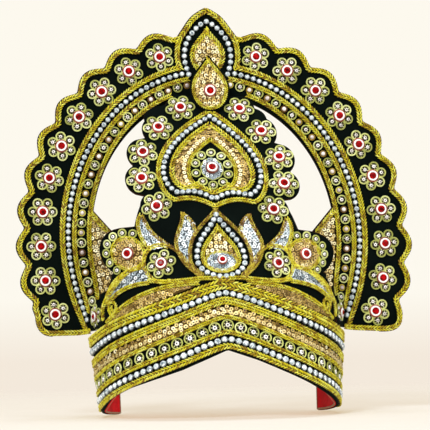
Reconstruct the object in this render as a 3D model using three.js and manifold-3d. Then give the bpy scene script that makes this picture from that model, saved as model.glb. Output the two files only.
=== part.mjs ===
// Costume crown: velvet boards dressed with gold braid, stone chains, sequin pads and wire flowers.
// Millimetres, +Z up, the front faces -Y, and the lower rim of the band stands on z = 0.
// Every sewn piece is drawn flat, across and up, and then bent onto the halo or the front board.
import * as THREE from 'three';
import { mergeVertices } from 'three/addons/utils/BufferGeometryUtils.js';
import Module from 'manifold-3d';

const wasm = await Module();
wasm.setup();

// Boards and sewing
const HALO_THICK = 3;
const PANEL_THICK = 2.5;
const LINING_THICK = 1;
const LINING_GAP = 0.8;
const LINING_INSET = { rim: 1.6, top: 3, end: 1 };
const SEW_GAP = 0.6;
const BOARD_GAP = 0.9;
const BOW = 0.3;
const SHORTEST_SPLIT = 10;

// Braids, pads, chains and flowers
const BRAID = { width: 4.2, height: 2.4 };
const THIN_BRAID = { width: 3.2, height: 2 };
const PAD_HEIGHT = 1.2;
const RAISED_PAD = 1.7;
const CHAIN_RADIUS = 1.8;
const CHAIN_SIDES = 8;
const CHAIN_STEP = 11.4;
const LOOP_POINTS = 48;
const LOOP_END = 0.4;
const FLOWER = { radius: 9.9, petals: 6, height: 1.5, notch: 0.7 };
const STONE = { sides: 8, girdle: 3.8, table: 1.7, height: 1.7 };

// Halo: scallops along an ellipse, measured by arc length from the top
const SCALLOP = { a: 121.4, b: 136.3, z: 121, first: 34.8, pitch: 24.15, count: 10, steps: 4, last: 9.7 };
const SCALLOP_EDGE = { base: 7.23, rise: 6.77, round: 0.35, margin: 2.7 };
const SCALLOP_START = { x: 19.4, z: 262 };
const HALO_BOTTOM = 55.8;
const HALO_CORNER_X = 119;
const WINDOW = { a: 83.5, b: 102.3 };
const RING_Z = 123.7;
const RING = {
  outer: { a: 106.3, b: 122.3, from: 11.5, to: 116 },
  chain: { a: 101.95, b: 117.6, from: 12, to: 111.5 },
  middle: { a: 97.75, b: 113.4, from: 8.5, to: 111 },
  studs: { a: 92, b: 109.2, from: 13, to: 111 },
  inner: { a: 85.9, b: 105, from: 26, to: 111 },
};
const RING_STUD_WIDTH = 9.4;
const RING_STEPS = 12;
const FINIAL_STEPS = 10;
const CURVE_STEPS = 4;

// The lower inner corners of the halo fold forward about two upright lines
const FOLD = { x: 96, bend: 10, angle: 72, low: 62, high: 104 };
const FLANGE = { reach: 34, foot: 57.8, rise: 4.4, lap: 1, columns: 7, rows: 6 };
const FOLD_FLOWER = { x: 77.2, z: 71.4, spin: 30, radius: 8.6 };
const CORNER = { topZ: 142, kneeX: 74.5, kneeZ: 124.5, inset: 4, slantSteps: 3 };
const CORNER_PAD = [
  { x: 84.4, z: 140 },
  { x: 74.5, z: 124.5 },
  { x: 73.5, z: 104 },
  { x: 76, z: 87 },
  { x: 81.5, z: 100 },
  { x: 84.4, z: 123.7 },
];

// Finial, half outline of its braid from the tip down
const FINIAL_BRAID = [
  { x: 0, z: 283.2 },
  { x: 7.5, z: 278 },
  { x: 13.5, z: 270.2 },
  { x: 18.6, z: 263 },
  { x: 20.9, z: 255 },
  { x: 20.6, z: 247.6 },
];
const FINIAL_CHAIN = [
  { x: 0, z: 276.6 },
  { x: 8.6, z: 268.6 },
  { x: 14.6, z: 259.6 },
  { x: 15.9, z: 252 },
  { x: 15, z: 244.6 },
];
const FINIAL_LEAF = { half: 11.6, top: 271.5, wide: 253, bottom: 240 };
const FINIAL_DROP = { half: 12.2, top: 251.6, wide: 228.2, bottom: 214.4 };
const DROP_STANDOFF = 2.4;
const DROP_SLOPE = 0.263;

// Front board: how it leans and wraps
const FRONT = { y: -88, z: 44, lean: 0.386, curl: 0.00043 };
const WRAP = { radius: 82, flare: 0.13, flareTop: 60, flatFrom: 60, flatTo: 165 };
const REAR = { from: 60, to: 120 };
const SWAY = { across: -3.6, roll: 0.05, from: 70, full: 165, fade: 190, to: 250 };

// Band: each row falls from its height at the centre with a slope, and levels out at the rear
const CHEVRON = { round: 5, levelFrom: 98, level: 118 };
const BAND_TOP = { z: 91.2, slope: 0.299 };
const ROWS = {
  upper: { z: 87.4, slope: 0.304, half: 2.9 },
  upperChain: { z: 82.1, slope: 0.316 },
  middle: { z: 66.9, slope: 0.34 },
  lowerChain: { z: 51.7, slope: 0.347 },
  lower: { z: 46.9, slope: 0.347, half: 2.1 },
};
// Section of the middle braid: a cord along its lower and upper edge, a low field between them
const MIDDLE_SECTION = [
  { off: -12.4, high: 2.4 },
  { off: -8.8, high: 1.2 },
  { off: 6.8, high: 1.2 },
  { off: 12.4, high: 2.4 },
];
const BAND_STEP = 16;
const BAND_TURN = 120;
const ROW_END_GAP = 5;
const BAND_COLUMNS = 30;
const LINING_COLUMNS = 16;
// Lower rim of the band: its chevron, the heel and the stretch that is trimmed level to stand on
const RIM = [
  { u: 0, z: 43.8 },
  { u: 94, z: 11.7 },
  { u: 104, z: 6 },
  { u: 111.5, z: -0.4 },
  { u: 190, z: -0.4 },
];
const REAR_ROUND = [4, 0, 7];

// Front panel above the band: half width by height up to the spray lobe, then round lobes
const PANEL_SIDE = [
  { z: 64, half: 99.4 },
  { z: 68, half: 100.5 },
  { z: 74, half: 97.5 },
  { z: 80, half: 91.5 },
  { z: 86, half: 84.5 },
  { z: 93, half: 79 },
  { z: 96, half: 79 },
];
const PANEL_LEVEL = 103;
const PANEL_TOP = 224.5;
const PANEL_COLUMNS = 6;
const PANEL_STEP = 6;
const SPRAY = { u: 62.3, z: 108.9, across: 21.3, up: 18.6 };
const NECK = 51.5;
const LOBE_RADIUS = 12.5;
const MEDALLION_FLOWER = { radius: 9.3, spin: 30 };
const MEDALLION_FLOWERS = [
  { u: 20.7, z: 213 },
  { u: 35.9, z: 197.2 },
  { u: 47, z: 178.4 },
  { u: 48.7, z: 159.5 },
  { u: 39.6, z: 140.6 },
];

// Handles of the pointed drops and of the medallion's outlines, as shares of their sizes
const DROP_CURVE = { tipOut: 0.3, tipDown: 0.35, sideUp: 0.42, sideDown: 0.58, footOut: 0.55 };
const SPADE_CURVE = {
  tipGrow: 1.3,
  tipOut: 0.42,
  tipDown: 0.22,
  sideUp: 0.42,
  sideDown: 0.55,
  cornerLift: 1,
  bowOut: 0.6,
  bowLift: 3.4,
  footOut: 0.3,
  footLift: 0.6,
};

// Medallion outlines
const MEDALLION = {
  braid: { half: 36.3, top: 210, wide: 165, cornerU: 26.1, cornerZ: 145.4, foot: 141.6 },
  chain: { half: 31.5, top: 204.6, wide: 165.2, cornerU: 22.4, cornerZ: 150.8, foot: 147.8 },
  border: { half: 28.2, top: 199.6, wide: 165.4, cornerU: 19, cornerZ: 155.2, foot: 152.6 },
  pocket: { half: 15.6, top: 187, wide: 167, cornerU: 11.4, cornerZ: 157, foot: 155 },
};
const ROSETTE = { z: 169.4, radius: 11.8, petals: 10, notch: 0.76 };

// Lotus
const LOTUS = {
  chain: { half: 16, top: 128.2, wide: 105.3, bottom: 93.4 },
  heart: { half: 12.6, top: 121, wide: 105.6, bottom: 96.4 },
  oval: { z: 103, across: 10.6, up: 6.4 },
};
// Each of these is a start and then, three rows at a time, two handles and the next corner
const LOTUS_BRAID = [
  { u: -0.8, z: 135 },
  { u: 7.1, z: 126 },
  { u: 20.4, z: 119 },
  { u: 20.4, z: 106 },
  { u: 20.4, z: 101 },
  { u: 17.4, z: 98.2 },
  { u: 13.6, z: 95.2 },
];
const LOTUS_PETAL = [
  { u: 23.4, z: 137 },
  { u: 24, z: 127 },
  { u: 31, z: 121 },
  { u: 29.6, z: 113 },
  { u: 28, z: 103 },
  { u: 21, z: 97 },
  { u: 15.4, z: 93.6 },
  { u: 24, z: 99 },
  { u: 22, z: 113 },
  { u: 14.6, z: 125 },
  { u: 15, z: 130 },
  { u: 18, z: 135 },
];
const LOTUS_BRAID_STEPS = 10;

// Side sprays, right half
const DISC = { radius: 13.2, sides: 12, studOrbit: 15.8, studWidth: 7, from: -62, to: 116, steps: 6 };
const FLOWER_RING = { u: 40.2, z: 102.4, outer: 12.2, sides: 12, spin: 12 };
const SIDE_PETAL = [
  { u: 56, z: 128 },
  { u: 53.5, z: 128 },
  { u: 51, z: 128 },
  { u: 48.5, z: 128 },
  { u: 44.5, z: 121 },
  { u: 38, z: 115 },
  { u: 31, z: 112 },
  { u: 36.5, z: 112 },
  { u: 42, z: 112 },
  { u: 47.5, z: 112 },
  { u: 49, z: 117 },
  { u: 52, z: 123 },
];
const LEAF = [
  { u: 52, z: 100 },
  { u: 66, z: 99 },
  { u: 79, z: 91 },
  { u: 88, z: 81 },
  { u: 88, z: 79.7 },
  { u: 88, z: 78.3 },
  { u: 88, z: 77 },
  { u: 76, z: 86 },
  { u: 64, z: 90.4 },
  { u: 48, z: 90.4 },
  { u: 49.3, z: 93.6 },
  { u: 50.7, z: 96.8 },
];
const EDGE_BRAID = [
  { u: 74, z: 91.5 },
  { u: 85, z: 82.5 },
  { u: 94, z: 74 },
  { u: 96.2, z: 66.4 },
];
const CRESCENT = { fromU: 24, toU: 92, rise: 7.4, least: 0.8, gap: 1.1, steps: 6 };
const SCROLL = { u: 86.5, z: 73.5, radius: 5, sides: 8 };

const VELVET = { color: 0x06130f, roughness: 0.95, metalness: 0 };
const SATIN = { color: 0x9c0f1c, roughness: 0.5, metalness: 0 };
const ZARI = { color: 0xc4ae2e, roughness: 0.45, metalness: 0.5 };
const CRYSTAL = { color: 0xdfe6ea, roughness: 0.12, metalness: 0.1 };
const SEQUIN = { color: 0xc8a868, roughness: 0.3, metalness: 0.6 };
const WIRE_FLOWER = { color: 0xb9c06a, roughness: 0.4, metalness: 0.4 };
const SILVER = { color: 0xc3cdd3, roughness: 0.3, metalness: 0.6 };

const degrees = THREE.MathUtils.degToRad;
const crown = new THREE.Group();
crown.name = 'costume_crown';

function smooth(t) {
  return THREE.MathUtils.smoothstep(t, 0, 1);
}

// Surfaces that sewn pieces are bent onto

// A point on the halo: the flat front face is y = 0, and the lower inner corners fold forward
function haloSurface(x, z, depth) {
  const inset = Math.max(0, FOLD.x - Math.abs(x));
  const angle = degrees(FOLD.angle) * (1 - smooth((z - FOLD.low) / (FOLD.high - FOLD.low)));
  const curve = Math.max(1e-6, angle / FOLD.bend);
  const bent = Math.min(inset, FOLD.bend);
  const turn = curve * bent;
  const sine = Math.sin(turn);
  const cosine = Math.cos(turn);
  const inward = sine / curve + (inset - bent) * cosine - depth * sine;
  const forward = (1 - cosine) / curve + (inset - bent) * sine + depth * cosine;
  return new THREE.Vector3(Math.sign(x) * (Math.abs(x) + inset - inward), -forward, z);
}

function frontLine(z) {
  const rise = z - FRONT.z;
  return FRONT.y + FRONT.lean * rise + FRONT.curl * rise * rise;
}

function wrapRadius(z) {
  return WRAP.radius + WRAP.flare * THREE.MathUtils.clamp(z, 0, WRAP.flareTop);
}

// A point on the front face of the front board, from the distance round it and the height
function panelPoint(u, z) {
  const rising = smooth((z - SWAY.from) / (SWAY.full - SWAY.from));
  const set = rising * (1 - smooth((z - SWAY.fade) / (SWAY.to - SWAY.fade)));
  const along = u + SWAY.across * set;
  const height = z - SWAY.roll * set * u;
  const flat = smooth((height - WRAP.flatFrom) / (WRAP.flatTo - WRAP.flatFrom));
  const bend = Math.max(1e-6, (1 - flat) / wrapRadius(height));
  const turn = bend * along;
  const behind = smooth((Math.abs(turn) - degrees(REAR.from)) / degrees(REAR.to - REAR.from));
  const lean = (frontLine(height) - frontLine(0)) * (1 - behind);
  const y = frontLine(0) + lean + (1 - Math.cos(turn)) / bend;
  return new THREE.Vector3(Math.sin(turn) / bend, y, height);
}

function panelSurface(u, z, depth) {
  const nudge = 0.05;
  const across = panelPoint(u + nudge, z).sub(panelPoint(u - nudge, z));
  const up = panelPoint(u, z + nudge).sub(panelPoint(u, z - nudge));
  return panelPoint(u, z).addScaledVector(across.cross(up).normalize(), depth);
}

// The finial drop leans from the halo down to the front board
function dropSurface(x, z, depth) {
  return new THREE.Vector3(x, -DROP_STANDOFF - (FINIAL_DROP.top - z) * DROP_SLOPE - depth, z);
}

// Flat pieces

function pad(shape, height, base = SEW_GAP) {
  const options = { depth: height, bevelEnabled: false, curveSegments: CURVE_STEPS };
  const flat = new THREE.ExtrudeGeometry(shape, options);
  return flat.translate(0, 0, base);
}

// The outline of a strip of even width along an open curve
function strip(curve, width, steps) {
  const left = [];
  const right = [];
  for (let i = 0; i <= steps; i += 1) {
    const point = curve.getPointAt(i / steps);
    const along = curve.getTangentAt(i / steps);
    const off = new THREE.Vector2(-along.y, along.x).multiplyScalar(width / 2);
    left.push(point.clone().add(off));
    right.push(point.clone().sub(off));
  }
  return new THREE.Shape([...left, ...right.reverse()]);
}

function braid(curve, steps, size = BRAID) {
  return pad(strip(curve, size.width, steps), size.height);
}

// A regular polygon, drawn taller or flatter if it is given a second radius
function polygon(radius, sides, x, y, radiusUp = radius) {
  const points = [];
  for (let i = 0; i < sides; i += 1) {
    const angle = (i / sides) * 2 * Math.PI;
    points.push(new THREE.Vector2(x + radius * Math.cos(angle), y + radiusUp * Math.sin(angle)));
  }
  return new THREE.Shape(points);
}

// A faceted stone with a flat table, standing on a pad of the given height
function stone(x, y, height) {
  const cut = new THREE.CylinderGeometry(STONE.table, STONE.girdle, STONE.height, STONE.sides);
  return cut.rotateX(Math.PI / 2).translate(x, y, SEW_GAP + height + STONE.height / 2);
}

// A flower outline, a tip and a notch for each petal
function petals(x, y, spin, { radius, petals: count, notch }) {
  const points = [];
  for (let k = 0; k < count; k += 1) {
    const middle = spin + (k * 360) / count;
    const rows = [
      { angle: middle, reach: radius },
      { angle: middle + 180 / count, reach: radius * notch },
    ];
    for (const { angle, reach } of rows) {
      const turn = degrees(angle);
      points.push(new THREE.Vector2(x + reach * Math.cos(turn), y + reach * Math.sin(turn)));
    }
  }
  return new THREE.Shape(points);
}

function flower(x, y, spin, size = FLOWER) {
  return [pad(petals(x, y, spin, size), FLOWER.height), stone(x, y, FLOWER.height)];
}

// Joining, bending and naming

function toSolid(geometry) {
  const bare = geometry.index ? geometry.toNonIndexed() : geometry.clone();
  bare.deleteAttribute('normal');
  bare.deleteAttribute('uv');
  const merged = mergeVertices(bare, 1e-4);
  const triVerts = Uint32Array.from(merged.index.array);
  const vertProperties = merged.attributes.position.array;
  return new wasm.Manifold(new wasm.Mesh({ numProp: 3, vertProperties, triVerts }));
}

function toGeometry(solid) {
  const mesh = solid.getMesh();
  const geometry = new THREE.BufferGeometry();
  geometry.setAttribute('position', new THREE.BufferAttribute(mesh.vertProperties, 3));
  geometry.setIndex(new THREE.BufferAttribute(mesh.triVerts, 1));
  return geometry;
}

function fuse(pieces) {
  return toGeometry(pieces.map(toSolid).reduce((whole, piece) => whole.add(piece)));
}

// Splits the edges of a flat piece that would bow off the surface when it is bent
function refine(flat, surface) {
  const bent = (point) => surface(point.x, point.y, point.z);
  const halfway = (a, b) => a.clone().add(b).multiplyScalar(0.5);
  const bow = (a, b) => {
    const short = a.distanceTo(b) < SHORTEST_SPLIT;
    return short ? 0 : bent(halfway(a, b)).distanceTo(halfway(bent(a), bent(b)));
  };
  const bare = flat.index ? flat.toNonIndexed() : flat;
  const corner = (i) => new THREE.Vector3().fromBufferAttribute(bare.attributes.position, i);
  const open = [];
  const done = [];
  for (let i = 0; i < bare.attributes.position.count; i += 3) {
    open.push([corner(i), corner(i + 1), corner(i + 2)]);
  }
  while (open.length > 0) {
    const [a, b, c] = open.pop();
    const turns = [[a, b, c], [b, c, a], [c, a, b]];
    const bows = turns.map(([from, to]) => bow(from, to));
    const worst = bows.indexOf(Math.max(...bows));
    if (bows[worst] <= BOW) {
      done.push(a, b, c);
    } else {
      const [from, to, apex] = turns[worst];
      const middle = halfway(from, to);
      open.push([from, middle, apex], [middle, to, apex]);
    }
  }
  return new THREE.BufferGeometry().setFromPoints(done);
}

function bendOnto(flat, surface) {
  const place = flat.attributes.position;
  for (let i = 0; i < place.count; i += 1) {
    const point = surface(place.getX(i), place.getY(i), place.getZ(i));
    place.setXYZ(i, point.x, point.y, point.z);
  }
  return mergeVertices(flat, 1e-4);
}

// A wall drawn as a grid from a back depth: place gives the flat point and the thickness there,
// for a column from -1 to 1 and a row number
function sheet(columns, rows, back, place, surface) {
  const wall = new THREE.BoxGeometry(2, rows, 1, columns, rows, 1);
  wall.deleteAttribute('normal');
  wall.deleteAttribute('uv');
  const spot = wall.attributes.position;
  for (let i = 0; i < spot.count; i += 1) {
    const flat = place(spot.getX(i), Math.round(spot.getY(i) + rows / 2));
    spot.setXYZ(i, flat.x, flat.y, spot.getZ(i) > 0 ? back + flat.z : back);
  }
  return bendOnto(wall, surface);
}

function add(name, look, geometry) {
  const mesh = new THREE.Mesh(geometry, new THREE.MeshStandardMaterial(look));
  mesh.name = name;
  crown.add(mesh);
}

function sew(name, look, pieces, surface) {
  add(name, look, bendOnto(refine(fuse(pieces), surface), surface));
}

// A stone chain as a round tube along a flat curve on a surface
function sewChain(name, curve, surface, from = 0, to = 1) {
  const count = Math.ceil((curve.getLength() * (to - from)) / CHAIN_STEP);
  const points = [];
  for (let i = 0; i <= count; i += 1) {
    const flat = curve.getPointAt(from + ((to - from) * i) / count);
    points.push(surface(flat.x, flat.y, SEW_GAP + CHAIN_RADIUS));
  }
  const extrudePath = new THREE.CatmullRomCurve3(points);
  const section = polygon(CHAIN_RADIUS, CHAIN_SIDES, 0, 0);
  const tube = new THREE.ExtrudeGeometry(section, { steps: count, extrudePath, bevelEnabled: false });
  tube.deleteAttribute('normal');
  tube.deleteAttribute('uv');
  add(name, CRYSTAL, mergeVertices(tube, 1e-4));
}

// A stone chain round a closed outline, with its ends at the foot
function sewLoop(name, outline) {
  const count = LOOP_POINTS;
  const spots = outline.getSpacedPoints(count).slice(0, count);
  const fromFoot = spots.map((spot, i) => spots[(i + count / 2) % count]);
  const end = LOOP_END / outline.getLength();
  sewChain(name, new THREE.SplineCurve([...fromFoot, fromFoot[0]]), panelSurface, end, 1 - end);
}

// Flat curves and outlines

function vectors(rows, side = 1) {
  return rows.map((row) => new THREE.Vector2(side * (row.x ?? row.u), row.z));
}

// A curve through a half outline and its mirror image, from left to right over the top
function mirrored(rows) {
  return new THREE.SplineCurve([...vectors(rows, -1).reverse(), ...vectors(rows.slice(1))]);
}

// A smooth path through a table of corners and handles
function curvedLine(rows, side) {
  const spots = vectors(rows, side);
  const line = new THREE.CurvePath();
  for (let i = 0; i + 3 < spots.length; i += 3) {
    line.add(new THREE.CubicBezierCurve(spots[i], spots[i + 1], spots[i + 2], spots[i + 3]));
  }
  return line;
}

function curvedShape(rows, side) {
  const line = curvedLine([...rows, rows[0]], side);
  return new THREE.Shape(line.getPoints(CURVE_STEPS).slice(0, -1));
}

function ellipseArc({ a, b, from, to }, side) {
  const points = [];
  for (let i = 0; i <= RING_STEPS; i += 1) {
    const angle = degrees(from + ((to - from) * i) / RING_STEPS);
    points.push(new THREE.Vector2(side * a * Math.sin(angle), RING_Z + b * Math.cos(angle)));
  }
  return new THREE.SplineCurve(points);
}

const quarter = Math.PI / 2;
const scallopLine = new THREE.EllipseCurve(0, SCALLOP.z, SCALLOP.a, SCALLOP.b, quarter, -quarter, true);
const scallopLength = scallopLine.getLength();

function halfFlowerSpot(index) {
  return scallopLine.getPointAt((SCALLOP.first + index * SCALLOP.pitch) / scallopLength);
}

// The right half of the scalloped edge, from the finial to the fold, stood off by a margin
function scallopEdge(margin) {
  const points = vectors([SCALLOP_START]);
  for (let i = 0; i <= SCALLOP.last * SCALLOP.steps; i += 1) {
    const lobe = i / SCALLOP.steps - 0.5;
    const along = (SCALLOP.first + lobe * SCALLOP.pitch) / scallopLength;
    const wave = Math.hypot(Math.cos(lobe * Math.PI), SCALLOP_EDGE.round);
    const out = SCALLOP_EDGE.base + SCALLOP_EDGE.rise * wave + margin;
    const tangent = scallopLine.getTangentAt(along);
    const off = new THREE.Vector2(-tangent.y, tangent.x).multiplyScalar(out);
    points.push(scallopLine.getPointAt(along).add(off));
  }
  const bottom = HALO_BOTTOM + SCALLOP_EDGE.margin - margin;
  points.push(new THREE.Vector2(HALO_CORNER_X, bottom), new THREE.Vector2(FOLD.x + 1, bottom));
  return points;
}

function flip(points) {
  return points.map((point) => new THREE.Vector2(-point.x, point.y));
}

// Pointed drop outline: sharp top, round foot
function drop({ half, top, wide, bottom }) {
  const rise = top - wide;
  const fall = wide - bottom;
  const right = [
    { u: 0, z: top },
    { u: half * DROP_CURVE.tipOut, z: top - rise * DROP_CURVE.tipDown },
    { u: half, z: wide + rise * DROP_CURVE.sideUp },
    { u: half, z: wide },
    { u: half, z: wide - fall * DROP_CURVE.sideDown },
    { u: half * DROP_CURVE.footOut, z: bottom },
    { u: 0, z: bottom },
  ];
  return curvedLoop(right);
}

// Spade outline of the medallion: pointed top, round sides, a foot of two bows
function spade(row, grow = 0) {
  const half = row.half + grow;
  const top = row.top + grow * SPADE_CURVE.tipGrow;
  const cornerU = row.cornerU + grow;
  const cornerZ = row.cornerZ - grow;
  const rise = top - row.wide;
  const fall = row.wide - cornerZ;
  const right = [
    { u: 0, z: top },
    { u: half * SPADE_CURVE.tipOut, z: top - rise * SPADE_CURVE.tipDown },
    { u: half, z: row.wide + rise * SPADE_CURVE.sideUp },
    { u: half, z: row.wide },
    { u: half, z: row.wide - fall * SPADE_CURVE.sideDown },
    { u: (half + cornerU) / 2, z: cornerZ + SPADE_CURVE.cornerLift },
    { u: cornerU, z: cornerZ },
    { u: cornerU * SPADE_CURVE.bowOut, z: cornerZ + SPADE_CURVE.bowLift },
    { u: cornerU * SPADE_CURVE.footOut, z: cornerZ + SPADE_CURVE.footLift },
    { u: 0, z: row.foot - grow },
  ];
  return curvedLoop(right);
}

// A closed outline from its right half, given from the top down to the foot
function curvedLoop(right) {
  const left = right.slice(1, -1).reverse().map(({ u, z }) => ({ u: -u, z }));
  return curvedShape([...right, ...left], 1);
}

// An outline with another cut out of it, whose points run the other way round
function ringShape(outer, inner) {
  outer.holes.push(new THREE.Path(inner.getPoints().reverse()));
  return outer;
}

function rowHeight({ z, slope }, u) {
  const distance = Math.hypot(u, CHEVRON.round) - CHEVRON.round;
  const past = Math.max(0, Math.min(distance, 2 * CHEVRON.level - CHEVRON.levelFrom) - CHEVRON.levelFrom);
  const level = Math.min(distance, 2 * CHEVRON.level - CHEVRON.levelFrom);
  return z - slope * (level - (past * past) / (4 * (CHEVRON.level - CHEVRON.levelFrom)));
}

function bandEnd(z) {
  return wrapRadius(z) * degrees(BAND_TURN);
}

// A band row as a list of points from one rear end to the other
function rowLine(row) {
  const end = bandEnd(rowHeight(row, 2 * CHEVRON.level)) - ROW_END_GAP;
  const count = 2 * Math.ceil(end / BAND_STEP);
  const points = [];
  for (let i = 0; i <= count; i += 1) {
    const u = -end + (2 * end * i) / count;
    points.push(new THREE.Vector2(u, rowHeight(row, u)));
  }
  return points;
}

// A band row as a ribbon with a section across it, each step of it a distance off the row's line
function rowRibbon(row, section) {
  const line = rowLine(row);
  const columns = line.length - 1;
  const place = (column, step) => {
    const spot = line[Math.round(((column + 1) / 2) * columns)];
    return new THREE.Vector3(spot.x, spot.y + section[step].off, section[step].high);
  };
  return sheet(columns, section.length - 1, SEW_GAP, place, panelSurface);
}

function flatRow(row) {
  return rowRibbon(row, [{ off: -row.half, high: BRAID.height }, { off: row.half, high: BRAID.height }]);
}

// Boards

function haloBoard() {
  const edge = scallopEdge(SCALLOP_EDGE.margin);
  const knee = CORNER.kneeX - CORNER.inset;
  const inner = [
    new THREE.Vector2(FOLD.x, HALO_BOTTOM),
    new THREE.Vector2(FOLD.x, FOLD.high),
    new THREE.Vector2(knee, FOLD.high),
    new THREE.Vector2(knee, CORNER.kneeZ),
  ];
  const windowTop = Math.acos((CORNER.topZ + CORNER.inset - RING_Z) / WINDOW.b);
  for (let i = 0; i <= RING_STEPS; i += 1) {
    const angle = windowTop * (1 - i / RING_STEPS);
    inner.push(new THREE.Vector2(WINDOW.a * Math.sin(angle), RING_Z + WINDOW.b * Math.cos(angle)));
  }
  const half = [...edge, ...inner];
  const ring = new THREE.Shape([...half, ...flip(half.slice(0, -1)).reverse()]);
  const finialLine = mirrored(FINIAL_BRAID);
  const finialEdge = [];
  for (let i = 0; i <= FINIAL_STEPS; i += 1) {
    const along = finialLine.getTangentAt(i / FINIAL_STEPS);
    const off = new THREE.Vector2(-along.y, along.x).multiplyScalar(SCALLOP_EDGE.margin);
    finialEdge.push(finialLine.getPointAt(i / FINIAL_STEPS).add(off));
  }
  const foot = new THREE.Vector2(FINIAL_BRAID.at(-1).x, RING_Z + RING.studs.b);
  const finial = new THREE.Shape([...finialEdge, foot, ...flip([foot])]);
  const flat = fuse([ring, finial].map((shape) => pad(shape, HALO_THICK, -HALO_THICK)));
  add('halo_board', VELVET, fuse([bendOnto(flat, haloSurface), flange(1), flange(-1)]));
}

// A lower corner of the halo, a grid from the fold line to the front panel
function flange(side) {
  const place = (column, row) => {
    const up = row / FLANGE.rows;
    const reach = THREE.MathUtils.lerp(FLANGE.reach, FOLD.x - CORNER.kneeX + CORNER.inset, up);
    const inset = ((1 - side * column) / 2) * (reach + FLANGE.lap) - FLANGE.lap;
    const low = FLANGE.foot + FLANGE.rise * Math.max(0, inset / FLANGE.reach);
    const z = THREE.MathUtils.lerp(low, FOLD.high + FLANGE.lap, up);
    return new THREE.Vector3(side * (FOLD.x - inset), z, HALO_THICK);
  };
  return sheet(FLANGE.columns, FLANGE.rows, -HALO_THICK, place, haloSurface);
}

// The value of a table's column at a place along another column, straight between rows
function between(rows, key, at, value) {
  const next = Math.max(1, rows.findIndex((row) => row[key] >= at));
  const share = (at - rows[next - 1][key]) / (rows[next][key] - rows[next - 1][key]);
  return THREE.MathUtils.lerp(rows[next - 1][value], rows[next][value], share);
}

// The band wall between its rim and its top, or a wall inside it, inset from its edges
function bandWall(columns, back, thick, inset) {
  const rearTop = rowHeight(BAND_TOP, 2 * CHEVRON.level);
  const place = (column, row) => {
    const u = column * (bandEnd((rearTop * row) / 2) - REAR_ROUND[row] - inset.end);
    const low = between(RIM, 'u', Math.abs(u), 'z') + inset.rim;
    const high = rowHeight(BAND_TOP, u) - inset.top;
    return new THREE.Vector3(u, THREE.MathUtils.lerp(low, high, row / 2), thick);
  };
  return sheet(columns, 2, back, place, panelSurface);
}

function panelHalf(z) {
  if (z < PANEL_SIDE.at(-1).z) {
    return between(PANEL_SIDE, 'z', z, 'half');
  }
  const round = { across: LOBE_RADIUS, up: LOBE_RADIUS };
  const lobes = [SPRAY, ...MEDALLION_FLOWERS.map((spot) => ({ ...spot, ...round }))];
  const near = lobes.filter((lobe) => Math.abs(z - lobe.z) < lobe.up);
  const reach = near.map((lobe) => lobe.u + lobe.across * Math.sqrt(1 - ((z - lobe.z) / lobe.up) ** 2));
  return Math.max(z < MEDALLION_FLOWERS.at(-1).z ? NECK : 0, ...reach);
}

// The rows of the panel fan out from the chevron and are level higher up
function frontPanel() {
  const low = PANEL_SIDE[0].z;
  const rows = Math.round((PANEL_TOP - low) / PANEL_STEP);
  const place = (column, row) => {
    const level = THREE.MathUtils.lerp(low, PANEL_TOP, row / rows);
    const u = column * panelHalf(level);
    const share = (level - low) / (PANEL_LEVEL - low);
    const fan = THREE.MathUtils.lerp(rowHeight(BAND_TOP, u) + BOARD_GAP, PANEL_LEVEL, share);
    return new THREE.Vector3(u, share < 1 ? fan : level, PANEL_THICK);
  };
  add('front_panel', VELVET, sheet(PANEL_COLUMNS, rows, -PANEL_THICK, place, panelSurface));
}

function bandBoard() {
  const board = bandWall(BAND_COLUMNS, -PANEL_THICK, PANEL_THICK, { rim: 0, top: 0, end: 0 });
  add('band_board', VELVET, toGeometry(toSolid(board).trimByPlane([0, 0, 1], 0)));
  const behind = -PANEL_THICK - LINING_GAP - LINING_THICK;
  add('band_lining', SATIN, bandWall(LINING_COLUMNS, behind, LINING_THICK, LINING_INSET));
}

// Halo trim

function haloTrim() {
  const edge = scallopEdge(0);
  const sides = [edge, flip(edge)].map((points) => braid(new THREE.SplineCurve(points), points.length - 1));
  const finial = braid(mirrored(FINIAL_BRAID), FINIAL_STEPS);
  sew('halo_edge_cord', ZARI, [...sides, finial], haloSurface);
  for (const [name, side] of [['left', -1], ['right', 1]]) {
    sew(`ring_outer_cord_${name}`, ZARI, [braid(ellipseArc(RING.outer, side), RING_STEPS)], haloSurface);
    sewChain(`ring_stone_chain_${name}`, ellipseArc(RING.chain, side), haloSurface);
    ringStudBand(name, side);
    for (let i = 0; i < SCALLOP.count; i += 1) {
      const spot = halfFlowerSpot(i);
      const spin = THREE.MathUtils.radToDeg(Math.atan2(spot.y - SCALLOP.z, side * spot.x));
      sew(`halo_flower_${name}_${i + 1}`, WIRE_FLOWER, flower(side * spot.x, spot.y, spin), haloSurface);
    }
    const small = { ...FLOWER, radius: FOLD_FLOWER.radius };
    const foldFlower = flower(side * FOLD_FLOWER.x, FOLD_FLOWER.z, FOLD_FLOWER.spin, small);
    sew(`flange_flower_${name}`, WIRE_FLOWER, foldFlower, haloSurface);
  }
}

// The stud band of the ring: two braids, the strip of studs between them and the sequin corner
function ringStudBand(name, side) {
  const studs = pad(strip(ellipseArc(RING.studs, side), RING_STUD_WIDTH, RING_STEPS), PAD_HEIGHT);
  const corner = new THREE.Shape(vectors(CORNER_PAD, side));
  const slant = new THREE.LineCurve(
    new THREE.Vector2(side * RING.inner.a, CORNER.topZ),
    new THREE.Vector2(side * CORNER.kneeX, CORNER.kneeZ),
  );
  const pieces = [
    braid(ellipseArc(RING.middle, side), RING_STEPS),
    braid(ellipseArc(RING.inner, side), RING_STEPS),
    studs,
    pad(corner, PAD_HEIGHT),
    braid(slant, CORNER.slantSteps),
  ];
  sew(`ring_stud_band_${name}`, SEQUIN, pieces, haloSurface);
}

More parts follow.
